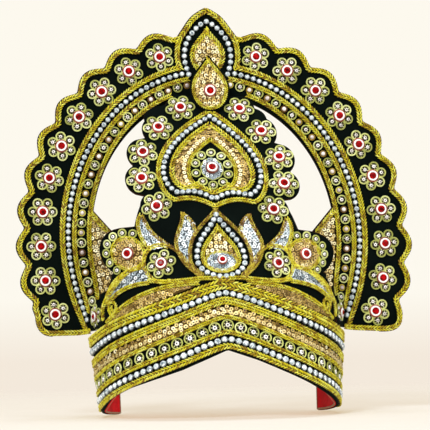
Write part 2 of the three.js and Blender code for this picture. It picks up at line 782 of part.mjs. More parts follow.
function finialTrim() {
  sewChain('finial_stone_chain', mirrored(FINIAL_CHAIN), haloSurface);
  sew('finial_leaf', SEQUIN, [pad(drop(FINIAL_LEAF), PAD_HEIGHT)], haloSurface);
  const drops = [pad(drop(FINIAL_DROP), PAD_HEIGHT), stone(0, FINIAL_DROP.wide, PAD_HEIGHT)];
  sew('finial_drop', SEQUIN, drops, dropSurface);
}

// Medallion trim

function medallionTrim() {
  const half = BRAID.width / 2;
  const outer = ringShape(spade(MEDALLION.braid, half), spade(MEDALLION.braid, -half));
  sew('medallion_outer_cord', ZARI, [pad(outer, BRAID.height)], panelSurface);
  sewLoop('medallion_stone_chain', spade(MEDALLION.chain));
  const border = ringShape(spade(MEDALLION.border), spade(MEDALLION.pocket));
  sew('medallion_sequin_border', SEQUIN, [pad(border, BRAID.height)], panelSurface);
  const rosette = pad(petals(0, ROSETTE.z, 90, ROSETTE), FLOWER.height);
  sew('medallion_rosette', SILVER, [rosette, stone(0, ROSETTE.z, FLOWER.height)], panelSurface);
  for (const [name, side] of [['left', -1], ['right', 1]]) {
    MEDALLION_FLOWERS.forEach((spot, i) => {
      const turn = Math.atan2(spot.z - ROSETTE.z, side * spot.u);
      const spin = MEDALLION_FLOWER.spin + THREE.MathUtils.radToDeg(turn);
      const pieces = flower(side * spot.u, spot.z, spin, { ...FLOWER, ...MEDALLION_FLOWER });
      sew(`medallion_flower_${name}_${i + 1}`, WIRE_FLOWER, pieces, panelSurface);
    });
  }
}

// Lotus trim

function lotusTrim() {
  const pieces = [1, -1].flatMap((side) => {
    const line = braid(curvedLine(LOTUS_BRAID, side), LOTUS_BRAID_STEPS, THIN_BRAID);
    return [line, pad(curvedShape(LOTUS_PETAL, side), PAD_HEIGHT)];
  });
  sew('lotus_petals', SILVER, pieces, panelSurface);
  sewLoop('lotus_stone_chain', drop(LOTUS.chain));
  const oval = polygon(LOTUS.oval.across, DISC.sides, 0, LOTUS.oval.z, LOTUS.oval.up);
  const heart = [
    pad(drop(LOTUS.heart), PAD_HEIGHT),
    pad(oval, RAISED_PAD),
    stone(0, LOTUS.oval.z, RAISED_PAD),
  ];
  sew('lotus_heart', SEQUIN, heart, panelSurface);
}

// Side sprays

function spray(name, side) {
  const disc = pad(polygon(DISC.radius, DISC.sides, side * SPRAY.u, SPRAY.z), RAISED_PAD);
  const studArc = [];
  for (let i = 0; i <= DISC.steps; i += 1) {
    const angle = degrees(DISC.from + ((DISC.to - DISC.from) * i) / DISC.steps);
    const across = SPRAY.u + DISC.studOrbit * Math.cos(angle);
    studArc.push(new THREE.Vector2(side * across, SPRAY.z + DISC.studOrbit * Math.sin(angle)));
  }
  const studs = pad(strip(new THREE.SplineCurve(studArc), DISC.studWidth, DISC.steps), PAD_HEIGHT);
  const ring = polygon(FLOWER_RING.outer, FLOWER_RING.sides, side * FLOWER_RING.u, FLOWER_RING.z);
  const crescentTop = [];
  const crescentFoot = [];
  for (let i = 0; i <= CRESCENT.steps; i += 1) {
    const u = CRESCENT.fromU + ((CRESCENT.toU - CRESCENT.fromU) * i) / CRESCENT.steps;
    const foot = rowHeight(BAND_TOP, u) + CRESCENT.gap;
    const rise = CRESCENT.least + CRESCENT.rise * Math.sin((Math.PI * i) / CRESCENT.steps);
    crescentFoot.push(new THREE.Vector2(side * u, foot));
    crescentTop.push(new THREE.Vector2(side * u, foot + rise));
  }
  const crescent = new THREE.Shape([...crescentFoot, ...crescentTop.reverse()]);
  const edge = new THREE.SplineCurve(vectors(EDGE_BRAID, side));
  const pieces = [
    disc,
    studs,
    stone(side * SPRAY.u, SPRAY.z, RAISED_PAD),
    pad(ring, PAD_HEIGHT),
    pad(petals(side * FLOWER_RING.u, FLOWER_RING.z, FLOWER_RING.spin, FLOWER), RAISED_PAD),
    stone(side * FLOWER_RING.u, FLOWER_RING.z, RAISED_PAD),
    pad(curvedShape(SIDE_PETAL, side), PAD_HEIGHT),
    pad(curvedShape(LEAF, side), PAD_HEIGHT),
    pad(crescent, PAD_HEIGHT),
    pad(polygon(SCROLL.radius, SCROLL.sides, side * SCROLL.u, SCROLL.z), THIN_BRAID.height),
    braid(edge, EDGE_BRAID.length),
  ];
  sew(`spray_${name}`, SEQUIN, pieces, panelSurface);
}

// Band trim

function bandTrim() {
  add('band_upper_braid', ZARI, flatRow(ROWS.upper));
  sewChain('band_upper_stone_chain', new THREE.SplineCurve(rowLine(ROWS.upperChain)), panelSurface);
  add('band_middle_braid', SEQUIN, rowRibbon(ROWS.middle, MIDDLE_SECTION));
  sewChain('band_lower_stone_chain', new THREE.SplineCurve(rowLine(ROWS.lowerChain)), panelSurface);
  add('band_lower_braid', ZARI, flatRow(ROWS.lower));
}

haloBoard();
bandBoard();
frontPanel();
haloTrim();
finialTrim();
medallionTrim();
lotusTrim();
spray('left', -1);
spray('right', 1);
bandTrim();

// The origin is under the middle of the crown
const middle = new THREE.Box3().setFromObject(crown).getCenter(new THREE.Vector3());
crown.position.set(-middle.x, -middle.y, 0);

export default crown;
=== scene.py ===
"""Costume crown: velvet boards dressed with zari braid, cut stones, wire flowers and sequins.

Lengths are millimetres on flat patterns: x or u across, z up and depth out of the board. Each pattern
is bent onto the halo, the front board or the finial drop, and is scaled to metres when its mesh is made.
"""
import math

import bpy
import numpy as np
from mathutils import Matrix, Vector


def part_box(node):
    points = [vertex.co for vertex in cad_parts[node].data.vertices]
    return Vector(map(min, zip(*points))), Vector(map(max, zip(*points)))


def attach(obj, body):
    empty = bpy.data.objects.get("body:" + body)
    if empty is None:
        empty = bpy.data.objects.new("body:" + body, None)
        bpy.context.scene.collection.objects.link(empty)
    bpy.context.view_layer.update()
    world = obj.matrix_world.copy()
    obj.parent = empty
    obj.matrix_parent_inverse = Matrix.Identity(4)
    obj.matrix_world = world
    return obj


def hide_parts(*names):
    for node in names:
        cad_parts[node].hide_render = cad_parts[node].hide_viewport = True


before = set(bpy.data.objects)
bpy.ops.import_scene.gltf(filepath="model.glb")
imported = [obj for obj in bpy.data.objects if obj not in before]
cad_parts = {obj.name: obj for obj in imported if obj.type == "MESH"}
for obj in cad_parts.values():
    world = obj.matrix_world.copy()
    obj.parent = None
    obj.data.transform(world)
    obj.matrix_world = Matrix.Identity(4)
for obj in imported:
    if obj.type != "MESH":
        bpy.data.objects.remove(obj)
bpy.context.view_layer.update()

MM = 0.001
TINY = 1e-6
STEP = 0.05
HALO_THICK, PANEL_THICK, BAND_THICK = 3.0, 2.5, 1.6
HALO_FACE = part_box("halo_board")[1].y / MM - HALO_THICK
SIDES = (("left", -1), ("right", 1))
FLIPS = ((1.0, 1.0), (-1.0, 1.0))
rng = np.random.default_rng(11)

# Halo: scallops along an ellipse, measured by arc length from the top
SCALLOP = dict(a=121.4, b=136.3, z=121.0, first=34.8, count=10)
PITCH = {-1: 24.25, 1: 24.45}
LAST_LOBE = {-1: 8.68, 1: 8.9}
SCALLOP_OUT = dict(base=8.3, rise=6.77, round=0.16, margin=2.2, widen=(4.0, 8.0))
SCALLOP_GROW = {-1: 0.0, 1: 2.6}
EDGE_CORNER = {
    -1: [(125.0, 70.0), (124.6, 65.5), (122.8, 61.5), (119.6, 58.9), (115.0, 58.2)],
    1: [(130.0, 66.0), (129.2, 62.0), (126.4, 58.8), (121.6, 57.5), (115.0, 57.4)],
}
FLANGE_FOOT = (62.0, 62.2)
KNEE = (68.4, 124.5)
WINDOW = (86.4, 101.4)
WINDOW_LOW = 143.4
RING_Z = 123.7
FOLD = dict(x=96.0, bend=10.0, angle=72.0, fade=(62.0, 104.0))
LEAN = dict(z=120.0, across=-0.018)
DROP_LEAN = dict(y=-2.4, z=251.6, slope=0.263)

# Front board: lean, wrap and the sideways set of the hand-sewn medallion
FRONT = dict(y=-88.0, z=44.0, lean=0.386, curl=0.00043)
WRAP = dict(radius=80.6, flare=0.13, top=60.0, flat=(60.0, 165.0))
REAR = (60.0, 120.0)
REAR_U = 236.0
SWAY = dict(across=-3.6, roll=0.05, rise=(70.0, 165.0), fall=(190.0, 250.0))
BAND_TURN = {-1: 124.0, 1: 117.0}
BAND_TOP = (91.2, 0.299)
GABLE = dict(round=5.0, ease=98.0, flat=138.0)
SAG = [
    (-140, -0.3), (-100, -0.6), (-70, -1.2), (-45, -1.7), (-28, -1.6), (-14, -0.6), (0, 0.3),
    (14, -0.1), (32, -1.3), (50, -2.2), (66, -2.5), (82, -2.3), (100, -1.8), (140, -0.6),
]


def smooth(value, low, high):
    """A soft step from 0 to 1 between two values."""
    t = np.clip((value - low) / (high - low), 0.0, 1.0)
    return t * t * (3.0 - 2.0 * t)


def unit(v):
    return v / np.linalg.norm(v, axis=-1, keepdims=True)


# Surfaces


def leaned(x, z):
    return x + LEAN["across"] * (z - LEAN["z"])


def halo(x, z, d):
    inset = np.maximum(0.0, FOLD["x"] - np.abs(x))
    share = smooth(z, *FOLD["fade"])
    curve = np.maximum(TINY, math.radians(FOLD["angle"]) * (1.0 - share) / FOLD["bend"])
    bent = np.minimum(inset, FOLD["bend"])
    turn = curve * bent
    sine, cosine = np.sin(turn), np.cos(turn)
    inward = sine / curve + (inset - bent) * cosine - d * sine
    forward = (1.0 - cosine) / curve + (inset - bent) * sine + d * cosine
    across = leaned(np.sign(x) * (np.abs(x) + inset - inward), z)
    return np.stack([across, -forward, z + 0.0 * x], -1)


def front_line(z):
    rise = z - FRONT["z"]
    return FRONT["y"] + FRONT["lean"] * rise + FRONT["curl"] * rise * rise


def wrap_radius(z):
    return WRAP["radius"] + WRAP["flare"] * np.clip(z, 0.0, WRAP["top"])


def panel_point(u, z):
    moved = smooth(z, *SWAY["rise"]) * (1.0 - smooth(z, *SWAY["fall"]))
    height = z - SWAY["roll"] * moved * u
    bend = np.maximum(TINY, (1.0 - smooth(height, *WRAP["flat"])) / wrap_radius(height))
    turn = bend * (u + SWAY["across"] * moved)
    behind = smooth(np.abs(turn), *np.radians(REAR))
    lean = (front_line(height) - front_line(0.0)) * (1.0 - behind)
    y = front_line(0.0) + lean + (1.0 - np.cos(turn)) / bend
    return np.stack([np.sin(turn) / bend, y, height], -1)


def panel(u, z, d):
    across = panel_point(u + STEP, z) - panel_point(u - STEP, z)
    up = panel_point(u, z + STEP) - panel_point(u, z - STEP)
    return panel_point(u, z) + np.asarray(d)[..., None] * unit(np.cross(across, up))


def drop_face(x, z, d):
    y = DROP_LEAN["y"] - (DROP_LEAN["z"] - z) * DROP_LEAN["slope"] - d
    return np.stack([leaned(x, z), y, z + 0.0 * x], -1)


def frames(surface, spots, depth, turn):
    """Origins and axes (along, across, out) of things sewn at flat spots and turned in the flat."""
    x, z = np.asarray(spots, float).T
    d = np.broadcast_to(np.asarray(depth, float), x.shape)
    out = unit(surface(x, z, d + STEP) - surface(x, z, d - STEP))
    east = surface(x + STEP, z, d) - surface(x - STEP, z, d)
    east = unit(east - out * np.sum(east * out, -1, keepdims=True))
    turn = np.broadcast_to(np.asarray(turn, float), x.shape)[:, None]
    along = np.cos(turn) * east + np.sin(turn) * np.cross(out, east)
    return surface(x, z, d), np.stack([along, np.cross(out, along), out], 1)


def tilted(axes, most):
    """The same axes with each set tipped by a small random angle, in degrees."""
    tip = np.radians(most) * rng.standard_normal((len(axes), 2)) * 0.6
    lean = np.tile(np.eye(3), (len(axes), 1, 1))
    lean[:, :2, 2], lean[:, 2, :2] = tip, -tip
    return unit(lean @ axes)


# Flat curves

CATMULL = np.array([(0, 2, 0, 0), (-1, 0, 1, 0), (2, -5, 4, -1), (-1, 3, -3, 1)]) / 2
BEZIER = np.array([(1, 0, 0, 0), (-3, 3, 0, 0), (3, -6, 3, 0), (-1, 3, -3, 1)])
CURVE_STEPS = 16


def spline(points, basis, stride, per):
    """A flat line of cubic runs, each from four rows, that start a stride apart."""
    powers = np.linspace(0.0, 1.0, per, endpoint=False)[:, None] ** np.arange(4)
    runs = [powers @ basis @ points[i : i + 4] for i in range(0, len(points) - 3, stride)]
    return np.vstack(runs + [points[-1:]])


def catmull(rows, per=14):
    """A smooth flat line through a table of points."""
    p = np.asarray(rows, float)
    return spline(np.vstack([p[:1], p, p[-1:]]), CATMULL, 1, per)


def bezier(rows, per=CURVE_STEPS):
    """A flat line from a start and then, three rows at a time, two handles and the next corner."""
    return spline(np.asarray(rows, float), BEZIER, 3, per)


def mirror(points):
    return np.asarray(points, float) * (-1.0, 1.0)


def both_sides(right, left=None):
    """A line from left to right over the top, from its right half and, where it differs, its left half."""
    return np.vstack([mirror(right if left is None else left)[::-1], right[1:]])


def loop(half):
    return np.vstack([half, mirror(half)[-2:0:-1]])


def around(count):
    return np.arange(count) * 2 * math.pi / count


def oval(x, z, across, up, low=0.0, high=360.0, count=60):
    angle = np.radians(np.linspace(low, high, count))
    return np.stack([x + across * np.cos(angle), z + up * np.sin(angle)], -1)


def ring_arc(across, up, low, high, side=1):
    """An arc about the middle of the halo's ring, between two angles in degrees from the top."""
    return oval(0.0, RING_Z, side * across, up, 90.0 - low, 90.0 - high, 160)


def lengths(points):
    return np.concatenate([[0.0], np.cumsum(np.linalg.norm(np.diff(points, axis=0), axis=1))])


def at_length(points, where):
    along = lengths(points)
    return np.stack([np.interp(where, along, points[:, k]) for k in (0, 1)], -1)


def at_share(line, share):
    return at_length(line, share * lengths(line)[-1])


def walk(points, where, reach, closed=False):
    """Points at given lengths along a flat line, and the line's directions there."""
    ends = np.stack([where - reach, where + reach])
    if closed:
        ends = ends % lengths(points)[-1]
    heading = at_length(points, ends[1]) - at_length(points, ends[0])
    return at_length(points, where), np.arctan2(heading[:, 1], heading[:, 0])


def resample(points, step, closed=False, inset=0.0):
    """Even steps along a flat line: points and directions. A closed line repeats no point."""
    if closed:
        points = np.vstack([points, points[:1]])
    total = lengths(points)[-1]
    count = max(2, round((total - 2 * inset) / step))
    where = np.linspace(inset, total - inset, count + 1)
    return walk(points, where[:-1] if closed else where, min(step, 1.5) * 0.6, closed)


SPREAD_REACH = 100.0


def spread(line, pitch, grow):
    """Points along a row whose spacing grows from its middle to its sides, and their directions."""
    along = lengths(line)
    away = np.abs(along - np.interp(0.0, line[:, 0], along))
    local = pitch * (1.0 + grow * smooth(away, 0.0, SPREAD_REACH))
    count = np.concatenate([[0.0], np.cumsum(np.diff(along) * 2.0 / (local[1:] + local[:-1]))])
    return walk(line, np.interp(np.arange(0.5, count[-1]), count, along), 0.6)


def shifted(points, off, closed=False):
    """A flat line moved sideways to its left by a distance."""
    if closed:
        ahead, behind = np.roll(points, -1, 0), np.roll(points, 1, 0)
    else:
        ahead, behind = np.vstack([points[1:], points[-1:]]), np.vstack([points[:1], points[:-1]])
    heading = unit(ahead - behind + 1e-9)
    return points + off * np.stack([-heading[:, 1], heading[:, 0]], -1)


SCALLOP_LINE = oval(0.0, SCALLOP["z"], SCALLOP["a"], SCALLOP["b"], 90.0, -90.0, 3000)


def scallop(margin, side, per=22):
    """One half of the scalloped edge as if on the right, stood off by a margin."""
    lobe = np.arange(-0.5, LAST_LOBE[side], 1.0 / per)
    spot, turn = walk(SCALLOP_LINE, SCALLOP["first"] + lobe * PITCH[side], 0.5)
    wave = np.hypot(np.cos(lobe * math.pi), SCALLOP_OUT["round"])
    grown = SCALLOP_GROW[side] * smooth(lobe, *SCALLOP_OUT["widen"])
    out = SCALLOP_OUT["base"] + SCALLOP_OUT["rise"] * wave + margin + grown
    return spot + out[:, None] * np.stack([-np.sin(turn), np.cos(turn)], -1)


def row_height(z, slope, u):
    """The height of a sewn row: a low gable that hangs a little between its top and its ends."""
    level = np.minimum(np.hypot(u, GABLE["round"]) - GABLE["round"], GABLE["flat"])
    past = np.maximum(0.0, level - GABLE["ease"])
    eased = past * past / (2 * (GABLE["flat"] - GABLE["ease"]))
    return z - slope * (level - eased) + np.interp(u, *np.transpose(SAG))


def band_end(z, side):
    return wrap_radius(z) * math.radians(BAND_TURN[side])


# Meshes


class Shape:
    """A small template: local points, and faces as (corner rows, look, smooth, group of each face)."""

    def __init__(self, verts, faces, spots=None):
        self.verts = np.asarray(verts, float)
        self.spots = self.verts if spots is None else spots
        self.faces = [
            (np.asarray(rows, int), look, soft, np.broadcast_to(group, len(rows)))
            for rows, look, soft, group in faces
            if len(rows)
        ]

    @property
    def groups(self):
        return 1 + max(int(group.max()) for *_, group in self.faces)

    def moved(self, turn=np.eye(3), shift=(0, 0, 0)):
        return Shape(self.verts @ np.transpose(turn) + np.asarray(shift), self.faces, self.spots)


def joined(*shapes):
    faces, start, group_start = [], 0, 0
    for s in shapes:
        faces += [(rows + start, look, soft, group + group_start) for rows, look, soft, group in s.faces]
        start += len(s.verts)
        group_start += s.groups
    return Shape(np.vstack([s.verts for s in shapes]), faces, np.vstack([s.spots for s in shapes]))


def lathe(profile, sides, look, closed=False):
    """A turned shape about the out axis, from (radius, height) rows that run up its outer side."""
    verts, rings = [], []
    for radius, height in profile:
        count = 1 if radius == 0 else sides
        rings.append(np.arange(len(verts), len(verts) + count))
        verts += [(radius * math.cos(a), radius * math.sin(a), height) for a in around(sides)[:count]]
    quads, tris = [], []
    i, j = np.arange(sides), (np.arange(sides) + 1) % sides
    for low, high in zip(rings, rings[1:] + (rings[:1] if closed else [])):
        if len(low) == 1:
            tris += list(zip(np.repeat(low, sides), high[j], high[i]))
        elif len(high) == 1:
            tris += list(zip(low[i], low[j], np.repeat(high, sides)))
        else:
            quads += list(zip(low[i], low[j], high[j], high[i]))
    return Shape(verts, [(quads, look, True, 0), (tris, look, True, 0)])


def circle(radius, middle, height, steps):
    """The closed profile of a round wire: its own radius, and where its middle runs."""
    angle = around(steps)
    return list(zip(middle + radius * np.cos(angle), height + radius * np.sin(angle)))


def ball(across, up, sides, rings, look, height=0.0):
    angle = np.linspace(-math.pi / 2, math.pi / 2, rings + 1)[1:-1]
    belt = [(across * math.cos(a), height + up * math.sin(a)) for a in angle]
    return lathe([(0, height - up), *belt, (0, height + up)], sides, look)


def cut_stone(girdle, table, low, high, look):
    """A brilliant-cut top: an eight-sided table, eight star and sixteen girdle facets, and a wall."""
    wide, tight = around(16), around(8) + math.pi / 8
    foot = np.stack([girdle * np.cos(wide), girdle * np.sin(wide), 0 * wide], -1)
    top = np.stack([table * np.cos(tight), table * np.sin(tight), 0 * tight + high], -1)
    k = np.arange(8)
    g0, g1, g2 = 16 + 2 * k, 17 + 2 * k, 16 + (2 * k + 2) % 16
    t0, t1 = 32 + k, 32 + (k + 1) % 8
    tris = np.vstack([np.stack(row, -1) for row in ((t0, g0, g1), (t0, g1, g2), (t0, g2, t1))])
    i, j = np.arange(16), (np.arange(16) + 1) % 16
    wall = np.stack([i, j, 16 + j, 16 + i], -1)
    # Each facet is its own tone group, so its random tone paints the sparkle and foil reflections of a cut
    # stone.
    faces = [(wall, look, False, 0), (tris, look, False, 1 + np.arange(24)), ([t0], look, False, 25)]
    return Shape(np.vstack([foot, foot + (0.0, 0.0, low), top]), faces)


HEAPS = []


class Heap:
    """A piece in the making: many small shapes on one surface, which become one joined mesh."""

    def __init__(self, surface, name, slot, *nodes):
        self.surface, self.name, self.slot, self.nodes = surface, name, slot, nodes
        self.verts, self.spots, self.faces, self.count = [], [], [], 0
        HEAPS.append(self)

    def add(self, verts, faces, spots):
        """Points in crown millimetres, and faces as (corner rows, look, smooth, tone of each face)."""
        self.verts.append(verts)
        self.spots.append(spots)
        for rows, look, soft, tone in faces:
            self.faces.append((rows + self.count, look, soft, np.broadcast_to(tone, len(rows))))
        self.count += len(verts)

    def sew(self, shape, spots, depth, turn=0.0, tip=0.0, size=1.0, tone=None):
        """A copy of a template at each flat spot, tipped at random, with a tone for each group of faces."""
        origin, axes = frames(self.surface, spots, depth, turn)
        if tip:
            axes = tilted(axes, tip)
        count, groups = len(origin), shape.groups
        local = shape.verts[None] * np.broadcast_to(np.asarray(size, float), count)[:, None, None]
        tones = rng.random((count, groups)) if tone is None else np.full((count, groups), tone)
        start = np.arange(count)[:, None, None] * len(shape.verts)
        faces = [
            ((rows + start).reshape(-1, rows.shape[1]), look, soft, tones[:, group].ravel())
            for rows, look, soft, group in shape.faces
        ]
        verts = (origin[:, None] + local @ axes).reshape(-1, 3)
        self.add(verts, faces, np.tile(shape.spots, (count, 1)))

    def grid(self, points, look, closed_across=False, closed_along=False, spots=None):
        """A sheet of quads over points[along, across], facing its across x along side."""
        index = np.arange(points[..., 0].size).reshape(points.shape[:2])
        if closed_across:
            index = np.hstack([index, index[:, :1]])
        if closed_along:
            index = np.vstack([index, index[:1]])
        a, b, c, d = index[:-1, :-1], index[:-1, 1:], index[1:, 1:], index[1:, :-1]
        rows = np.stack([a, b, c, d], -1).reshape(-1, 4)
        spots = points if spots is None else spots
        self.add(points.reshape(-1, 3), [(rows, look, True, 0.5)], spots.reshape(-1, 3))

    def make(self):
        rows, looks, soft, tones = zip(*self.faces)
        counts = [len(part) for part in rows]
        used = list(dict.fromkeys(looks))
        verts = (np.vstack(self.verts) + (0.0, HALO_FACE, 0.0)) * MM
        mesh = bpy.data.meshes.new(self.name)
        mesh.from_pydata(verts.tolist(), [], [row for part in rows for row in part.tolist()])
        which = np.repeat([used.index(look) for look in looks], counts)
        mesh.polygons.foreach_set("material_index", which.astype(np.int32))
        mesh.polygons.foreach_set("use_smooth", np.repeat(soft, counts))
        tone = mesh.attributes.new("tone", "FLOAT", "FACE")
        tone.data.foreach_set("value", np.concatenate(tones).astype(np.float32))
        spot = mesh.attributes.new("spot", "FLOAT_VECTOR", "POINT")
        spot.data.foreach_set("vector", np.vstack(self.spots).astype(np.float32).ravel())
        for look in used:
            mesh.materials.append(LOOKS[look].owner)
        mesh.update()
        piece = bpy.data.objects.new(self.name, mesh)
        bpy.context.scene.collection.objects.link(piece)
        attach(piece, "root")
        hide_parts(*self.nodes)


# Materials


class Nodes:
    """The node tree of a material or the world, with a short way to add and link nodes."""

    def __init__(self, owner, shader="Principled BSDF", **inputs):
        owner.use_nodes = True
        self.owner, self.tree = owner, owner.node_tree
        self.shader = self.tree.nodes[shader]
        self.set(**inputs)

    def feed(self, node, inputs):
        """Links sockets to a node's inputs and sets values there, a colour without its alpha."""
        for key, value in inputs.items():
            if isinstance(value, bpy.types.NodeSocket):
                self.tree.links.new(value, node.inputs[key])
            else:
                node.inputs[key].default_value = (*value, 1.0) if isinstance(value, tuple) else value

    def set(self, **inputs):
        self.feed(self.shader, {key.replace("_", " "): value for key, value in inputs.items()})

    def new(self, kind, output, inputs, **settings):
        """An output of a new node."""
        node = self.tree.nodes.new("ShaderNode" + kind)
        for key, value in settings.items():
            setattr(node, key, value)
        self.feed(node, inputs)
        return node.outputs[output]

    def tone(self):
        return self.new("Attribute", "Fac", {}, attribute_name="tone")

    def spot(self):
        return self.new("Attribute", "Vector", {}, attribute_name="spot")

    def place(self):
        return self.new("TexCoord", "Object", {})

    def ramp(self, factor, *stops):
        """A colour ramp through rows of place, red, green and blue."""
        socket = self.new("ValToRGB", "Color", {"Fac": factor})
        elements = socket.node.color_ramp.elements
        while len(elements) < len(stops):
            elements.new(0.5)
        for element, (where, *colour) in zip(elements, stops):
            element.position, element.color = where, (*colour, 1.0)
        return socket

    def grey(self, factor, *stops):
        return self.ramp(factor, *[(where, level, level, level) for where, level in stops])

    def noise(self, scale, detail):
        inputs = {"Scale": scale, "Detail": detail, "Roughness": 0.6, "Vector": self.place()}
        return self.new("TexNoise", "Fac", inputs)

    def wave(self, vector, scale, direction, **inputs):
        inputs.update(Vector=vector, Scale=scale)
        return self.new("TexWave", "Fac", inputs, bands_direction=direction)

    def math(self, operation, a, b):
        return self.new("Math", 0, {0: a, 1: b}, operation=operation)

    def total(self, *parts):
        """The sum of two sockets, each with its weight."""
        return self.math("ADD", *[self.math("MULTIPLY", *part) for part in parts])

    def mix(self, factor, a, b):
        return self.new("Mix", 2, {0: factor, 6: a, 7: b}, data_type="RGBA")

    def bump(self, height, distance, strength):
        inputs = {"Height": height, "Distance": distance, "Strength": strength}
        self.set(Normal=self.new("Bump", "Normal", inputs))


LOOKS = {}


def new_look(name, **inputs):
    LOOKS[name] = Nodes(bpy.data.materials.new(name), **inputs)
    return LOOKS[name]


def velvet(name, low, high, sheen):
    n = new_look(name, Roughness=0.95, Specular_IOR_Level=0.05)
    n.set(Sheen_Weight=0.04, Sheen_Roughness=0.4, Sheen_Tint=sheen)
    pile = n.noise(2600.0, 2.0)
    nap = n.noise(38.0, 4.0)
    n.set(Base_Color=n.ramp(n.total((pile, 0.55), (nap, 0.45)), (0.3, *low), (0.72, *high)))
    n.bump(n.total((pile, 1.0), (nap, 1.4)), 0.00035, 0.7)


def thread(name, metal, rough, stripes, *stops):
    """Metal thread: each bundle has its own random tone, with the fine strands lying along it as bumps and
    darker stripes painted as shade in the gaps between them.
    """
    n = new_look(name, Metallic=metal)
    strands_and_gap_shade = n.wave(n.spot(), stripes, "Y", Distortion=1.2, Detail=1.0)
    worn = n.noise(900.0, 2.0)
    colour = n.ramp(n.tone(), *stops)
    faded = n.mix(worn, stops[0][1:], colour)
    # The strand stripes darken the colour towards the darkest tone: painted shade in the gaps between
    # strands.
    n.set(Base_Color=n.mix(n.math("MULTIPLY", strands_and_gap_shade, 0.5), colour, faded))
    n.set(Roughness=n.grey(worn, (0.3, 0.75 * rough), (0.7, min(1.0, 1.3 * rough))))
    n.bump(strands_and_gap_shade, 0.00012, 0.8)


def gem(name, rough, metal, coat, shine, *stops):
    """A hard gloss: each stone, bead or sequin has its own shade."""
    n = new_look(name, Metallic=metal, Coat_Weight=coat, IOR=1.6, Specular_IOR_Level=shine)
    n.set(Base_Color=n.ramp(n.tone(), *stops))
    n.set(Roughness=n.grey(n.noise(1400.0, 2.0), (0.3, 0.6 * rough), (0.75, 1.5 * rough)))


def satin():
    n = new_look("satin", Roughness=0.55, Specular_IOR_Level=0.06)
    fold = n.noise(70.0, 3.0)
    n.set(Base_Color=n.ramp(fold, (0.3, 0.42, 0.002, 0.005), (0.7, 0.78, 0.007, 0.016)))
    n.bump(n.total((fold, 1.0), (n.wave(n.place(), 900.0, "Z"), 0.1)), 0.0008, 0.6)


def backing():
    n = new_look("backing", Roughness=0.9, Specular_IOR_Level=0.15)
    weave = n.math("MULTIPLY", *[n.wave(n.place(), 420.0, axis) for axis in "XZ"])
    shade = n.total((weave, 0.5), (n.noise(30.0, 4.0), 0.6))
    n.set(Base_Color=n.ramp(shade, (0.2, 0.008, 0.009, 0.009), (0.75, 0.034, 0.036, 0.034)))
    n.bump(weave, 0.0003, 0.6)


def tape():
    n = new_look("tape", Roughness=0.8)
    weave = n.wave(n.place(), 700.0, "DIAGONAL")
    n.set(Base_Color=n.ramp(weave, (0.2, 0.22, 0.13, 0.07), (0.8, 0.42, 0.3, 0.19)))
    n.bump(weave, 0.0002, 0.6)


# Metal, roughness and stripes of each thread, then its shades as place, red, green and blue
THREADS = dict(
    zari=(
        (0.2, 0.4, 9.0),
        (0, 0.3, 0.16, 0.003), (0.22, 0.6, 0.46, 0.005), (0.55, 0.84, 0.77, 0.01), (1, 1, 1, 0.18),
    ),
    zari_brown=(
        (0.3, 0.4, 9.0),
        (0, 0.14, 0.05, 0.004), (0.4, 0.42, 0.26, 0.015), (0.7, 0.66, 0.53, 0.02), (1, 0.9, 0.82, 0.14),
    ),
    # The plait's ground is painted near black: painted shade in the gaps between its bundles.
    zari_base=((0.2, 0.7, 9.0), (0, 0.016, 0.008, 0.001), (1, 0.06, 0.032, 0.003)),
    wire=((0.15, 0.34, 5.0), (0, 0.34, 0.36, 0.07), (0.5, 0.58, 0.62, 0.16), (1, 0.84, 0.88, 0.38)),
    thread_gold=((0.35, 0.5, 3.0), (0, 0.06, 0.03, 0.004), (1, 0.2, 0.115, 0.018)),
    thread_silver=((0.35, 0.5, 3.0), (0, 0.03, 0.04, 0.05), (1, 0.1, 0.13, 0.145)),
    stitch=((0.0, 0.7, 3.0), (0, 0.09, 0.085, 0.07), (1, 0.2, 0.19, 0.16)),
)
